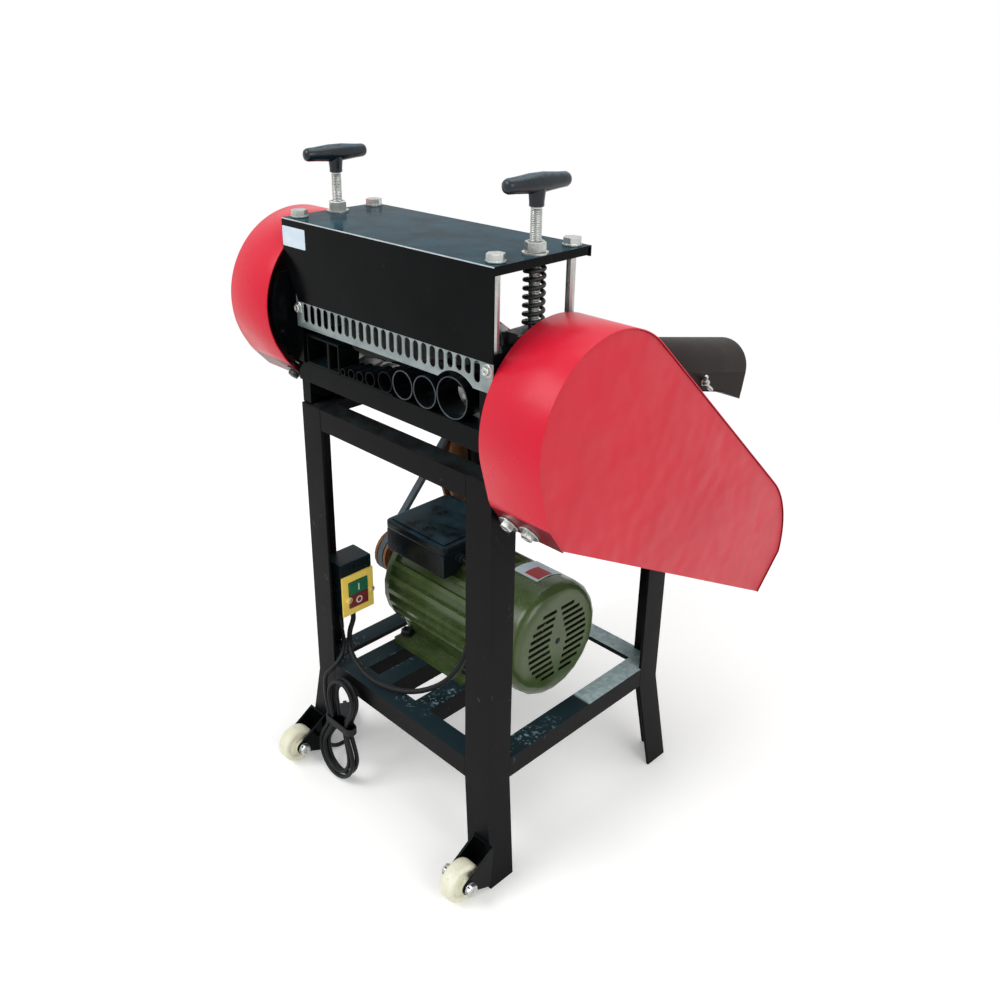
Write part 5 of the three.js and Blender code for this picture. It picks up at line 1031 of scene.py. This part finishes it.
guards = {
    "right": {
        "inner": 171.6, "outer": 252, "head": (-81, 589, 109), "crease": (-174, 516), "foot": (-150, 482),
        "tail": (185, 334, 121), "tailEnd": -12, "heel": (260, 263),
    },
    "left": {
        "inner": -173.6, "outer": -252, "head": (-99, 652.5, 103), "crease": (-179.5, 586),
        "foot": (-155, 559.5), "tail": (237, 342, 150), "tailEnd": -28, "heel": (369.44, 269.38),
    },
    "wall": 1.5, "lip": 1.1, "seam": 0.3, "creaseRound": 7,
}


def guardLine(sizes, inset):
    # foot, rounded crease, front, head arc, flank, tail arc and heel
    headY, headZ, headRadius = sizes["head"]
    tailY, tailZ, tailRadius = sizes["tail"]
    crease, foot, heel = Vector(sizes["crease"]), Vector(sizes["foot"]), Vector(sizes["heel"])
    span = math.hypot(tailY - headY, tailZ - headZ)
    flank = math.degrees(
        math.atan2(tailZ - headZ, tailY - headY) + math.acos((headRadius - tailRadius) / span),
    )
    reach = math.hypot(crease.x - headY, crease.y - headZ)
    front = math.degrees(
        math.atan2(crease.y - headZ, crease.x - headY) + 2 * math.pi - math.acos(headRadius / reach),
    )
    along = (foot - crease).normalized()
    inward = Vector((-along.y, along.x))
    above = Vector((-math.cos(math.radians(front)), -math.sin(math.radians(front))))
    corner = crease + (inward + above) * (inset / (1 + inward.dot(above)))
    low = foot + inward * inset
    headArc = arcPoints(headY, headZ, headRadius - inset, front, flank, 56)
    tailArc = arcPoints(tailY, tailZ, tailRadius - inset, flank, sizes["tailEnd"], 40)
    first = Vector(headArc[0])
    upWay, downWay = (first - corner).normalized(), (low - corner).normalized()
    bend = guards["creaseRound"]
    a, b = corner + downWay * bend, corner + upWay * bend
    shares = [i / 8 for i in range(9)]
    creaseArc = [tuple(a * (1 - t) ** 2 + corner * 2 * t * (1 - t) + b * t ** 2) for t in shares]
    return [tuple(low)] + creaseArc + headArc + tailArc + [(heel.x - inset * 0.4, heel.y + inset * 0.4)]


def makeGuard(side):
    sizes = guards[side]
    sign = 1 if side == "right" else -1
    wall, seam, lip = guards["wall"], guards["seam"], guards["lip"]
    outer = guardLine(sizes, 0)
    inner = guardLine(sizes, wall)
    band = outlined("band", outer + inner[::-1], "X", sizes["inner"], sizes["outer"])
    rounded(band, 0.35, 2, 50)
    plate = outlined(
        "plate", guardLine(sizes, wall + seam), "X", sizes["outer"] - sign * (lip + wall),
        sizes["outer"] - sign * lip,
    )
    rounded(plate, 0.45, 2, 50)
    band.name = band.data.name = "guardBand" + side.capitalize()
    plate.name = plate.data.name = "guardFace" + side.capitalize()
    smooth(band, 30)
    smooth(plate, 30)
    head = Vector((sizes["head"][0] + drawing["backShift"], sizes["head"][1]))
    foot = Vector((sizes["foot"][0] + drawing["backShift"], sizes["foot"][1]))
    crease = sizes["crease"][1] - guards["creaseRound"] * 0.5
    keep(band, "stand", "guardRed", "red_paint", "guard_" + side)
    keep(plate, "stand", "guardFace", "red_paint")
    # painted shade: the band's faces that look into the guard and the face plate's inner side get a dark red
    inwards = lambda centre, normal: abs(normal.x) < 0.5 and (head - centre.yz).dot(normal.yz) > 0
    second(band, "guardInsidePaintedShade", inwards)
    # painted shade on the flange faces below the crease
    second(
        band, "guardFlangePaintedShade",
        lambda centre, normal: centre.z < crease and centre.y < foot.x + 4 and not inwards(centre, normal),
    )
    second(plate, "guardInsidePaintedShade", lambda centre, normal: normal.x * sign < -0.5)


makeGuard("right")
makeGuard("left")

# Bolts, washers and nuts

print("stage: fasteners")

fasteners = {
    "corner": {"across": 17, "height": 6.5, "washer": 21, "washerWall": 1.8},
    "flange": {"across": 13, "height": 5.5, "washer": 24, "washerWall": 1.8},
    "foot": {"across": 15, "height": 7, "washer": 19, "washerWall": 1.6},
    "comb": {"across": 9, "height": 3.6, "washer": 14, "washerWall": 1.2},
    "axle": {"across": 14, "height": 6.2, "washer": 15.5, "washerWall": 1.2},
}


def hexBolt(name, kind):
    # washer and chamfered hex head standing up from the origin
    sizes = fasteners[kind]
    wall, washer = sizes["washerWall"], sizes["washer"] / 2
    ring = turned(
        name + "Washer",
        [(washer - 0.5, 0), (washer, 0.3), (washer, wall - 0.4), (washer - 0.5, wall), (0.05, wall)], "Z",
        partOrigin, 36,
    )
    corner = sizes["across"] / 2 / math.cos(math.pi / 6)
    top = wall + sizes["height"]
    head = turned(
        name + "Head",
        [
            (corner * 0.97, wall - 0.2), (corner, wall + 0.3), (corner, top - 1), (corner * 0.88, top),
            (corner * 0.5, top), (corner * 0.42, top - 0.5), (0.05, top - 0.5),
        ],
        "Z", partOrigin, 6,
    )
    editAll(head)
    bpy.ops.mesh.bevel(offset=0.00035, segments=2, affect="EDGES")
    leaveEdit()
    bolt = joined(name, [ring, head])
    smooth(bolt, 35)
    return bolt


def boltAt(model, name, spot, direction, spin=0):
    bolt = linked(name, model.data.copy())
    turn = Vector(direction).normalized().to_track_quat("Z", "Y").to_matrix().to_4x4()
    twist = Matrix.Rotation(math.radians(spin), 4, "Z")
    bolt.matrix_world = Matrix.Translation(place(*spot)) @ turn @ twist
    settle(bolt)
    return bolt


boltPlaces = {
    "flangeShares": {"Right": (0.155, 0.515), "Left": (0.09,)},  # of the guard's width, from its inner edge
    "flangeHeight": 0.7,  # of the way from the crease to the foot
    "motorFeet": [(x, y, 168.4) for x in (-104, 21) for y in (-56.5, 68.5)],
    "comb": {"Left": (-151, -171.2, 656.5), "Right": (164, -171.2, 656.5)},
    "axleEnd": 17.1,
}


def makeFasteners():
    models = {kind: hexBolt(kind + "Model", kind) for kind in fasteners}
    for side, shares in boltPlaces["flangeShares"].items():
        sizes = guards[side.lower()]
        crease, foot = Vector(sizes["crease"]), Vector(sizes["foot"])
        along = (foot - crease).normalized()
        outward = (along.y, -along.x)
        middle = crease + (foot - crease) * boltPlaces["flangeHeight"]
        for i, share in enumerate(shares):
            x = sizes["inner"] + (sizes["outer"] - sizes["inner"]) * share
            spot = (x, middle.x + outward[0] * 0.05, middle.y + outward[1] * 0.05)
            bolt = boltAt(
                models["flange"], "flangeBolt%s%d" % (side, i + 1), spot, (0, outward[0], outward[1]),
                17 + 24 * i,
            )
            keep(bolt, "stand", "zincPlate" if side == "Right" else "springSteel", "zinc")
    for number, spot in enumerate(boltPlaces["motorFeet"], 1):
        bolt = boltAt(models["foot"], "motorFootBolt%d" % number, spot, (0, 0, 1), 11 * number)
        keep(bolt, "stand", "springSteel", "black_paint")
    for side, spot in boltPlaces["comb"].items():
        keep(boltAt(models["comb"], "combScrew" + side, spot, (0, -1, 0), 20), "stand", "zincPlate", "zinc")
    for side, x in (("Left", -casters["x"]), ("Right", casters["x"])):
        for end, sign in (("Outer", 1), ("Inner", -1)):
            spot = (x + sign * boltPlaces["axleEnd"], casters["y"], casters["z"])
            keep(
                boltAt(models["axle"], "axleBolt" + side + end, spot, (sign, 0, 0), 9), "stand",
                "zincPlate", "zinc",
            )
    for model in models.values():
        bpy.data.objects.remove(model, do_unlink=True)


makeFasteners()

# Adjusting screws, handles and springs

print("stage: handles and springs")

handle = {
    "height": 827.4, "length": 84, "middle": 19.4, "end": 15, "turn": 86, "hubBottom": 805, "hubLow": 15,
    "hubTop": 17.4,
}
spring = {
    "diameter": 24, "wire": 4.4, "turns": 7.5, "endTurns": 0.75, "endPitch": 5.28, "bottom": 685.3,
    "top": 749.9,
}


def makeHandle(side, x):
    half, middle, end = handle["length"] / 2, handle["middle"] / 2, handle["end"] / 2
    profile = [
        (0.4, -half), (end * 0.5, -half + 0.5), (end * 0.84, -half + 1.9), (end, -half + 4.6),
        (end + 0.5, -half * 0.66), (middle - 0.6, -half * 0.36), (middle, -9), (middle, 9),
        (middle - 0.6, half * 0.36), (end + 0.5, half * 0.66), (end, half - 4.6), (end * 0.84, half - 1.9),
        (end * 0.5, half - 0.5), (0.4, half),
    ]
    bar = turned("bar", profile, "X", partOrigin, 28)
    low, top = handle["hubLow"] / 2, handle["hubTop"] / 2
    drop = handle["hubBottom"] - handle["height"]
    hub = turned(
        "hub",
        [
            (low - 1, drop), (low, drop + 0.8), (low, drop + 5), (low + 0.2, drop + 7), (top, drop + 17),
            (top, 0), (0.05, 0),
        ],
        "Z", partOrigin, 28,
    )
    piece = joined("tHandle" + side, [bar, hub])
    piece.rotation_euler = (0, 0, math.radians(handle["turn"]))
    settle(piece)
    piece.location = place(x, screws["y"], handle["height"])
    settle(piece)
    smooth(piece, 50)
    body = "screw_" + side.lower()
    keep(piece, body, "handlePlastic", "black_plastic", "t_handle_" + side.lower())


def makeScrew(side, x):
    # threaded rod: a wavy profile with one crest to each pitch
    pitch, radius, foot, top = screws["pitch"], screws["radius"], screws["foot"], screws["top"]
    profile = [(radius - 1, foot), (radius - 0.8, foot + 0.5)]
    z = screws["threadStart"]
    while z < screws["threadEnd"]:
        profile += [(radius, z), (radius - 0.75, z + pitch / 2)]
        z += pitch
    profile += [(radius - 0.6, top - 1), (radius - 1.2, top)]
    piece = turned("adjustingScrew" + side, profile, "Z", (x, screws["y"], 0), 24)
    smooth(piece, 20)
    keep(piece, "screw_" + side.lower(), "zincPlate", "zinc", "adjusting_screw_" + side.lower())


def makeSpring(side, x):
    radius = (spring["diameter"] - spring["wire"]) / 2
    bottom, top = spring["bottom"] + spring["wire"] / 2, spring["top"] - spring["wire"] / 2
    closed = 2 * spring["endTurns"]
    pitch = (top - bottom - closed * spring["endPitch"]) / (spring["turns"] - closed)
    points = []
    steps = round(spring["turns"] * 28)
    for i in range(steps + 1):
        turn = i / 28
        lower = min(turn, spring["endTurns"])
        upper = max(turn - spring["turns"] + spring["endTurns"], 0)
        z = bottom + (lower + upper) * spring["endPitch"] + (turn - lower - upper) * pitch
        angle = math.tau * turn
        points.append(place(x + radius * math.cos(angle), screws["y"] + radius * math.sin(angle), z))
    piece = meshOf(tubeAlong("spring" + side, points, spring["wire"] / 2, 3))
    smooth(piece, 60)
    piece.data.materials.append(materials["springSteel"])
    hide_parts("spring_" + side.lower())
    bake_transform(piece)


screwNut = {"bottom": 761.8, "height": 10.5, "across": 19, "bore": 7.3}


def makeScrewNut(side, x):
    # chamfered hexagon round the screw, on the washer of the top
    corner = screwNut["across"] / 2 / math.cos(math.pi / 6)
    low, high, bore = screwNut["bottom"] - 0.1, screwNut["bottom"] + screwNut["height"], screwNut["bore"]
    ring = [
        (bore, low), (corner * 0.92, low), (corner, low + 0.9), (corner, high - 0.9), (corner * 0.92, high),
        (bore + 0.5, high), (bore, high - 0.5), (bore, low),
    ]
    nut = turned("screwNut" + side, ring, "Z", (x, screws["y"], 0), 6, open=True)
    smooth(nut, 20)
    keep(nut, "stand", "zincPlate", "zinc")


for side, x in (("Left", -screws["x"]), ("Right", screws["x"])):
    makeHandle(side, x)
    makeScrew(side, x)
    makeScrewNut(side, x)
    makeSpring(side, x)

# Wheels

print("stage: wheels")

wheel = {"radius": 25, "width": 20, "hub": 9, "hubWidth": 27, "bore": 4.35, "dish": 3.4}


def makeWheel(side, x):
    r, half, dish = wheel["radius"], wheel["width"] / 2, wheel["dish"]
    hub, wide = wheel["hub"], wheel["hubWidth"] / 2
    edge = [
        (r - 7, half - 0.6), (r - 5.6, half), (r - 2.6, half - 0.1), (r - 1.1, half - 1),
        (r - 0.3, half - 2.6), (r, half - 4.6),
    ]
    face = [
        (wheel["bore"], wide), (hub - 0.8, wide), (hub, wide - 0.8), (hub + 0.5, half - dish + 0.8),
        (hub + 1.6, half - dish), (r - 9.2, half - dish), (r - 7.8, half - 1.6),
    ]
    right = face + edge
    left = [(radius, -along) for radius, along in reversed(right)]
    profile = right + left + [right[0]]
    piece = turned("casterWheel" + side, profile, "X", (x, casters["y"], casters["z"]), 56, open=True)
    smooth(piece, 40)
    keep(piece, "caster_" + side.lower(), "wheelNylon", "nylon", "caster_wheel_" + side.lower())


makeWheel("Left", -casters["x"])
makeWheel("Right", casters["x"])

# Guide tubes and chute

print("stage: guides and chute")

guides = {
    "front": -166, "rear": -136, "base": 587.8, "wall": 1.6,
    "round": {"guide_tube_1": (28.5, 34), "guide_tube_2": (64.6, 37), "guide_tube_3": (107, 47)},
}


def makeGuide(node, x, diameter):
    r = diameter / 2 - 0.15
    inner = r - guides["wall"]
    length = guides["rear"] - guides["front"]
    profile = [
        (inner, 0.5), (inner + 0.4, 0), (r - 0.4, 0), (r, 0.5), (r, length - 0.4), (r - 0.4, length),
        (inner, length), (inner, 0.5),
    ]
    piece = turned(
        "guideTube" + node[-1], profile, "Y", (x, guides["front"], guides["base"] + diameter / 2), 64,
        open=True,
    )
    smooth(piece, 30)
    keep(piece, "stand", "headPaint", "black_paint", node)
    front = place(0, guides["front"] + 0.7, 0).y * 1000
    # a paler grey on the front rim faces of each tube
    second(piece, "paleRim", lambda centre, normal: centre.y < front and normal.y < -0.3)


for node, (x, diameter) in guides["round"].items():
    makeGuide(node, x, diameter)

chute = {
    "x": 107, "radius": 39, "wall": 2, "length": 346, "slope": 12, "rise": 12, "flap": 54, "flapStart": 26,
    "flapEnd": 38, "sideEnd": 28, "nut": (146, 243, 539), "nutTurn": 35,
}


def makeChute():
    # arched hood, side walls that deepen, and a tray with its end flap
    r, wall, length, rise = chute["radius"], chute["wall"], chute["length"], chute["rise"]
    start = partOrigin[1]
    bend, end = start + length - chute["flap"], start + length
    arch = arcPoints(0, 0, r, 0, 180, 60) + arcPoints(0, 0, r - wall, 180, 0, 60)
    hood = outlined("hood", arch, "Y", start, end)
    rounded(hood, 0.4, 2, 50)
    tray = outlined("tray", [
        (start, -rise), (bend, -chute["flapStart"]), (end, -chute["flapEnd"]),
        (end, wall - chute["flapEnd"]), (bend, wall - chute["flapStart"]), (start, wall - rise),
    ], "X", -r, r)
    rounded(tray, 0.5, 2, 12)
    side = [(start, -rise), (bend, -chute["flapStart"]), (end, -chute["sideEnd"]), (end, 0), (start, 0)]
    walls = [outlined("wall", side, "X", *sorted((sign * r, sign * (r - wall)))) for sign in (-1, 1)]
    ear = [(bend, -chute["flapStart"]), (end, -chute["flapEnd"]), (end, -chute["sideEnd"])]
    walls += [outlined("ear", ear, "X", *sorted((sign * (r - 0.3), sign * (r - wall)))) for sign in (-1, 1)]
    whole = joined("outletChute", [hood, tray, *walls])
    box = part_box("outlet_chute")
    whole.rotation_euler = (math.radians(-chute["slope"]), 0, 0)
    settle(whole)
    low = [min(v.co[i] for v in whole.data.vertices) for i in range(3)]
    whole.location = [box[0][i] - low[i] for i in range(3)]
    settle(whole)
    smooth(whole, 30)
    keep(whole, "stand", "chutePaint", "black_paint", "outlet_chute")


def makeWingNut():
    start = partOrigin[1]
    hub = turned(
        "hub",
        [
            (5.6, 0), (5.8, 0.4), (5.8, 1.2), (4.8, 1.4), (4.8, 4), (4, 6.6), (3, 6.8), (3, 8), (2.3, 8.4),
            (0.05, 8.4),
        ],
        "X", partOrigin, 28,
    )
    wings = []
    for sign in (-1, 1):
        outline = [
            (1.4, 2.8), (1.4, 8), (3.4, 13), (7.6, 15.4), (10.6, 14.2), (10.4, 10.4), (7.4, 6.8),
            (5.6, 2.8),
        ]
        wing = outlined("wing", [(x, z * sign) for x, z in outline], "Y", start - 1.7, start + 1.7)
        rounded(wing, 0.6, 3, 30)
        wings.append(wing)
    nut = joined("chuteWingNut", [hub, *wings])
    nut.rotation_euler = (math.radians(chute["nutTurn"]), 0, 0)
    settle(nut)
    nut.location = place(*chute["nut"])
    settle(nut)
    smooth(nut, 40)
    keep(nut, "stand", "zincPlate", "zinc")


makeChute()
makeWingNut()

# Comb plate

print("stage: comb")

comb = {
    "left": -156, "right": 171, "bottom": 633.5, "top": 681.5, "front": -171.2, "rear": -169.8,
    "arch": (118, 608.5, 36), "first": -139, "pitch": 13.1, "long": 19, "short": 3, "width": 9.3,
    "low": 640.6, "shortLow": 646.5, "high": 663.6,
}


def makeComb():
    archX, archZ, archRadius = comb["arch"]
    reach = math.degrees(math.asin((comb["bottom"] - archZ) / archRadius))
    arch = arcPoints(archX, archZ, archRadius, 180 - reach, reach, 24)
    outline = [
        (comb["left"], comb["bottom"]), *arch, (comb["right"], comb["bottom"]),
        (comb["right"], comb["top"]), (comb["left"], comb["top"]),
    ]
    plate = outlined("combPlate", outline, "Y", comb["front"], comb["rear"])
    half = comb["width"] / 2
    windows = []
    for i in range(comb["long"] + comb["short"] + 1):
        x = comb["first"] + i * comb["pitch"]
        low = comb["shortLow"] if 0 <= i - comb["long"] < comb["short"] else comb["low"]
        ends = arcPoints(x, comb["high"] - half, half, 0, 180, 8)
        ends += arcPoints(x, low + half, half, 180, 360, 8)
        windows.append(outlined("window", ends, "Y", comb["front"] - 2, comb["rear"] + 2))
    cut(plate, joined("windows", windows))
    rounded(plate, 0.5, 2, 50)
    smooth(plate, 30)
    keep(plate, "stand", "combAluminium", "comb_aluminium", "comb_plate")
    # painted highlight on the faces that are not front or back
    second(plate, "combEdgePaintedHighlight", lambda centre, normal: abs(normal.y) < 0.9)


makeComb()

# Labels without words, switch details and motor covers

print("stage: small parts")

details = {
    "skirtLabel": {"x": (-172, -128), "z": (728, 751), "y": -173, "wall": 0.4, "corner": 1.6},
    "motorLabel": {
        "x": (50, 92), "angles": (62, 98), "redAngles": (76, 95), "redX": (66, 90), "centre": (6, 239.3),
        "radius": 80,
    },
    "lugs": ((-142, 253), (-104, 256)),
    "lid": {"x": (-132, -13), "y": (-69, 49), "z": (334, 345.4), "top": 347, "corner": 9, "panel": 5},
}


def roundedRectangle(a0, a1, b0, b1, corner, steps=6):
    low, high = (a0 + corner, b0 + corner), (a1 - corner, b1 - corner)
    points = []
    for i, (a, b) in enumerate((high, (low[0], high[1]), low, (high[0], low[1]))):
        points += arcPoints(a, b, corner, 90 * i, 90 * i + 90, steps)
    return points


def makeLabels():
    label = details["skirtLabel"]
    plate = outlined(
        "skirtLabel", roundedRectangle(*label["x"], *label["z"], label["corner"]), "Y",
        label["y"] - label["wall"], label["y"],
    )
    smooth(plate, 30)
    keep(plate, "stand", "blankLabel", "nylon")
    wrap = details["motorLabel"]
    y, z = wrap["centre"]
    for name, finish, xs, angles, lift in (
        ("motorLabel", "blankLabel", wrap["x"], wrap["angles"], 0.3),
        ("motorLabelPatch", "labelRed", wrap["redX"], wrap["redAngles"], 0.45),
    ):
        outline = arcPoints(y, z, wrap["radius"] + lift, *angles, 24)
        outline += arcPoints(y, z, wrap["radius"] - 0.2, angles[1], angles[0], 24)
        sheet = outlined(name, outline, "X", *xs)
        smooth(sheet, 30)
        keep(sheet, "stand", finish, "nylon")


def makeSwitchMarks():
    for node, body in (("start_key", "start_button"), ("stop_key", "stop_button")):
        low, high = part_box(node)
        x, y, z = high[0] * 1000, (low[1] + high[1]) * 500 + partOrigin[1], (low[2] + high[2]) * 500
        if node == "start_key":
            mark = outlined(
                "startMark", roundedRectangle(y - 0.9, y + 0.9, z - 5, z + 5, 0.6, 3), "X", x - 0.05,
                x + 0.3,
            )
        else:
            ring = [(5.2, 0), (5.2, 0.25), (5, 0.35), (3.7, 0.35), (3.5, 0.25), (3.5, 0), (5.2, 0)]
            mark = turned("stopMark", ring, "X", (x - 0.05, y, z), 40, open=True)
        smooth(mark, 30)
        keep(mark, body, "markWhite", "nylon")
    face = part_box("switch_bezel")[1][0] * 1000
    for number, (y, z) in enumerate(details["lugs"]):
        lug = turned(
            "bezelLug%d" % (number + 1), [(4.6, 0), (4.6, 2), (4, 2.8), (0.05, 2.8)], "X",
            (face - 0.3, y, z), 28,
        )
        smooth(lug, 40)
        keep(lug, "stand", "bezelYellow", "yellow_plastic")
        screw = turned(
            "bezelScrew%d" % (number + 1),
            [(2.7, 0), (2.7, 0.7), (2.2, 1.4), (1.2, 1.7), (1.1, 1), (0.05, 1)], "X", (face + 2.4, y, z),
            20,
        )
        smooth(screw, 30)
        keep(screw, "stand", "zincPlate", "zinc")


def makeLid():
    # lipped cover with round corners and a raised middle
    lid = details["lid"]
    piece = outlined(
        "terminalBoxLid", roundedRectangle(*lid["x"], *lid["y"], lid["corner"]), "Z", *lid["z"],
    )
    rounded(piece, 2.4, 3, 50)
    editFaces(piece, lambda centre, normal: normal.z > 0.95 and centre.z > lid["z"][1] - 0.1)
    bpy.ops.mesh.inset(thickness=lid["panel"] / 1000)
    bpy.ops.mesh.extrude_region_move(
        TRANSFORM_OT_translate={"value": (0, 0, (lid["top"] - lid["z"][1]) / 1000)},
    )
    bpy.ops.mesh.inset(thickness=0.0012)
    leaveEdit()
    smooth(piece, 40)
    keep(piece, "stand", "boxPlastic", "black_plastic", "terminal_box_lid")
    low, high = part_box("fan_cover")
    plug = turned(
        "fanCoverPlug", [(4, 0), (4, 0.6), (3.2, 1.2), (0.05, 1.4)], "X", (high[0] * 1000 - 0.9, 6, 239.3),
        28,
    )
    smooth(plug, 40)
    keep(plug, "stand", "boxPlastic", "black_plastic")


makeLabels()
makeSwitchMarks()
makeLid()

# Pieces that keep their shape and get their edges taken off

print("stage: dressed pieces")

dressing = {
    "standPaint": (
        1.2, ["leg_front_left", "leg_front_right", "leg_rear_left", "leg_rear_right", "table_frame"],
    ),
    "shelfPaint": (0.8, ["shelf_frame"]),
    "headPaint": (0.5, [
        "side_plate_left", "side_plate_right", "head_front_rail", "head_rear_rail", "top_plate",
        "top_sheet", "box_guides", "small_guide_tubes", "caster_bracket_left", "caster_bracket_right",
        "bearing_bracket_left", "bearing_bracket_right",
    ]),
    "zincPlate": (
        0.3,
        [
            "corner_bolt_front_left", "corner_bolt_front_right", "corner_bolt_rear_left",
            "corner_bolt_rear_right",
        ],
    ),
    "springSteel": (0.6, ["bearing_block_left", "bearing_block_right"]),
    "turnedSteel": (
        0.3, ["blade_shaft", "feed_roller", "drive_sprocket", "drive_chain", "cross_shaft", "motor_shaft"],
    ),
    "castPulley": (0.6, ["cross_shaft_pulley", "motor_pulley"]),
    "beltRubber": (0.5, ["v_belt"]),
    "motorGreen": (0.8, ["motor_housing", "fan_cover"]),
    "boxPlastic": (2, ["terminal_box", "switch_box"]),
    "bezelYellow": (0.6, ["switch_bezel"]),
    "keyGreen": (0.6, ["start_key"]),
    "keyRed": (0.6, ["stop_key"]),
}

keyRoom = {"behind": 2.8, "around": 0.45, "before": 1}
topSheet = {
    "nutRoom": 16, "nutRoomHeight": 20, "nutRoomLift": 0.05, "foldHeight": 758.7, "paintedReflectionAbove": 755,
    "foldBefore": -240,  # measured from the part's own origin
    "plateAbove": 760.2,
}


def makeKeyRoom(piece):
    # the keys' room stays square, so that they clear it when they are pushed
    keys = [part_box("start_key"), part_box("stop_key")]
    behind, before, around = keyRoom["behind"], keyRoom["before"], keyRoom["around"]
    low = [min(k[0][i] for k in keys) * 1000 - gap for i, gap in enumerate((behind, around, around))]
    high = [max(k[1][i] for k in keys) * 1000 + gap for i, gap in enumerate((before, around, around))]
    low[1], high[1] = low[1] + partOrigin[1], high[1] + partOrigin[1]
    cut(piece, boxed("keyRoom", low, high))
    smooth(piece)
    evened(piece)


def finishTopSheet(piece):
    # room for the finer nuts, then other finishes: a painted reflection on the upper face, a painted
    # highlight along the fold, and zinc on the washers
    half, height, lift = topSheet["nutRoom"], topSheet["nutRoomHeight"], topSheet["nutRoomLift"]
    y, z = screws["y"], screwNut["bottom"]
    for x in (-screws["x"], screws["x"]):
        cut(piece, boxed("nutRoom", (x - half, y - half, z + lift), (x + half, y + half, z + height)))
    fold, before = topSheet["foldHeight"], topSheet["foldBefore"]
    editAll(piece)
    bpy.ops.mesh.bisect(plane_co=place(0, 0, fold), plane_no=(0, 0, 1))
    leaveEdit()
    smooth(piece)
    evened(piece)
    # painted reflection on the upward faces of the black top sheet
    second(piece, "topPaintedReflection", lambda centre, normal: centre.z > topSheet["paintedReflectionAbove"] and normal.z > 0.9)
    # painted highlight along the front fold of the top sheet
    second(
        piece, "foldPaintedHighlight",
        lambda centre, normal: centre.z > fold and centre.y < before and normal.y < -0.25,
    )
    second(piece, "zincPlate", lambda centre, normal: centre.z > topSheet["plateAbove"])


for finish, (bevel, held) in dressing.items():
    for node in held:
        # merging would close over the shelf's ring, which is one flat face
        piece = dressed(node, finish, bevel, merged=node != "shelf_frame")
        if node == "switch_box":
            makeKeyRoom(piece)
        if node == "top_sheet":
            finishTopSheet(piece)
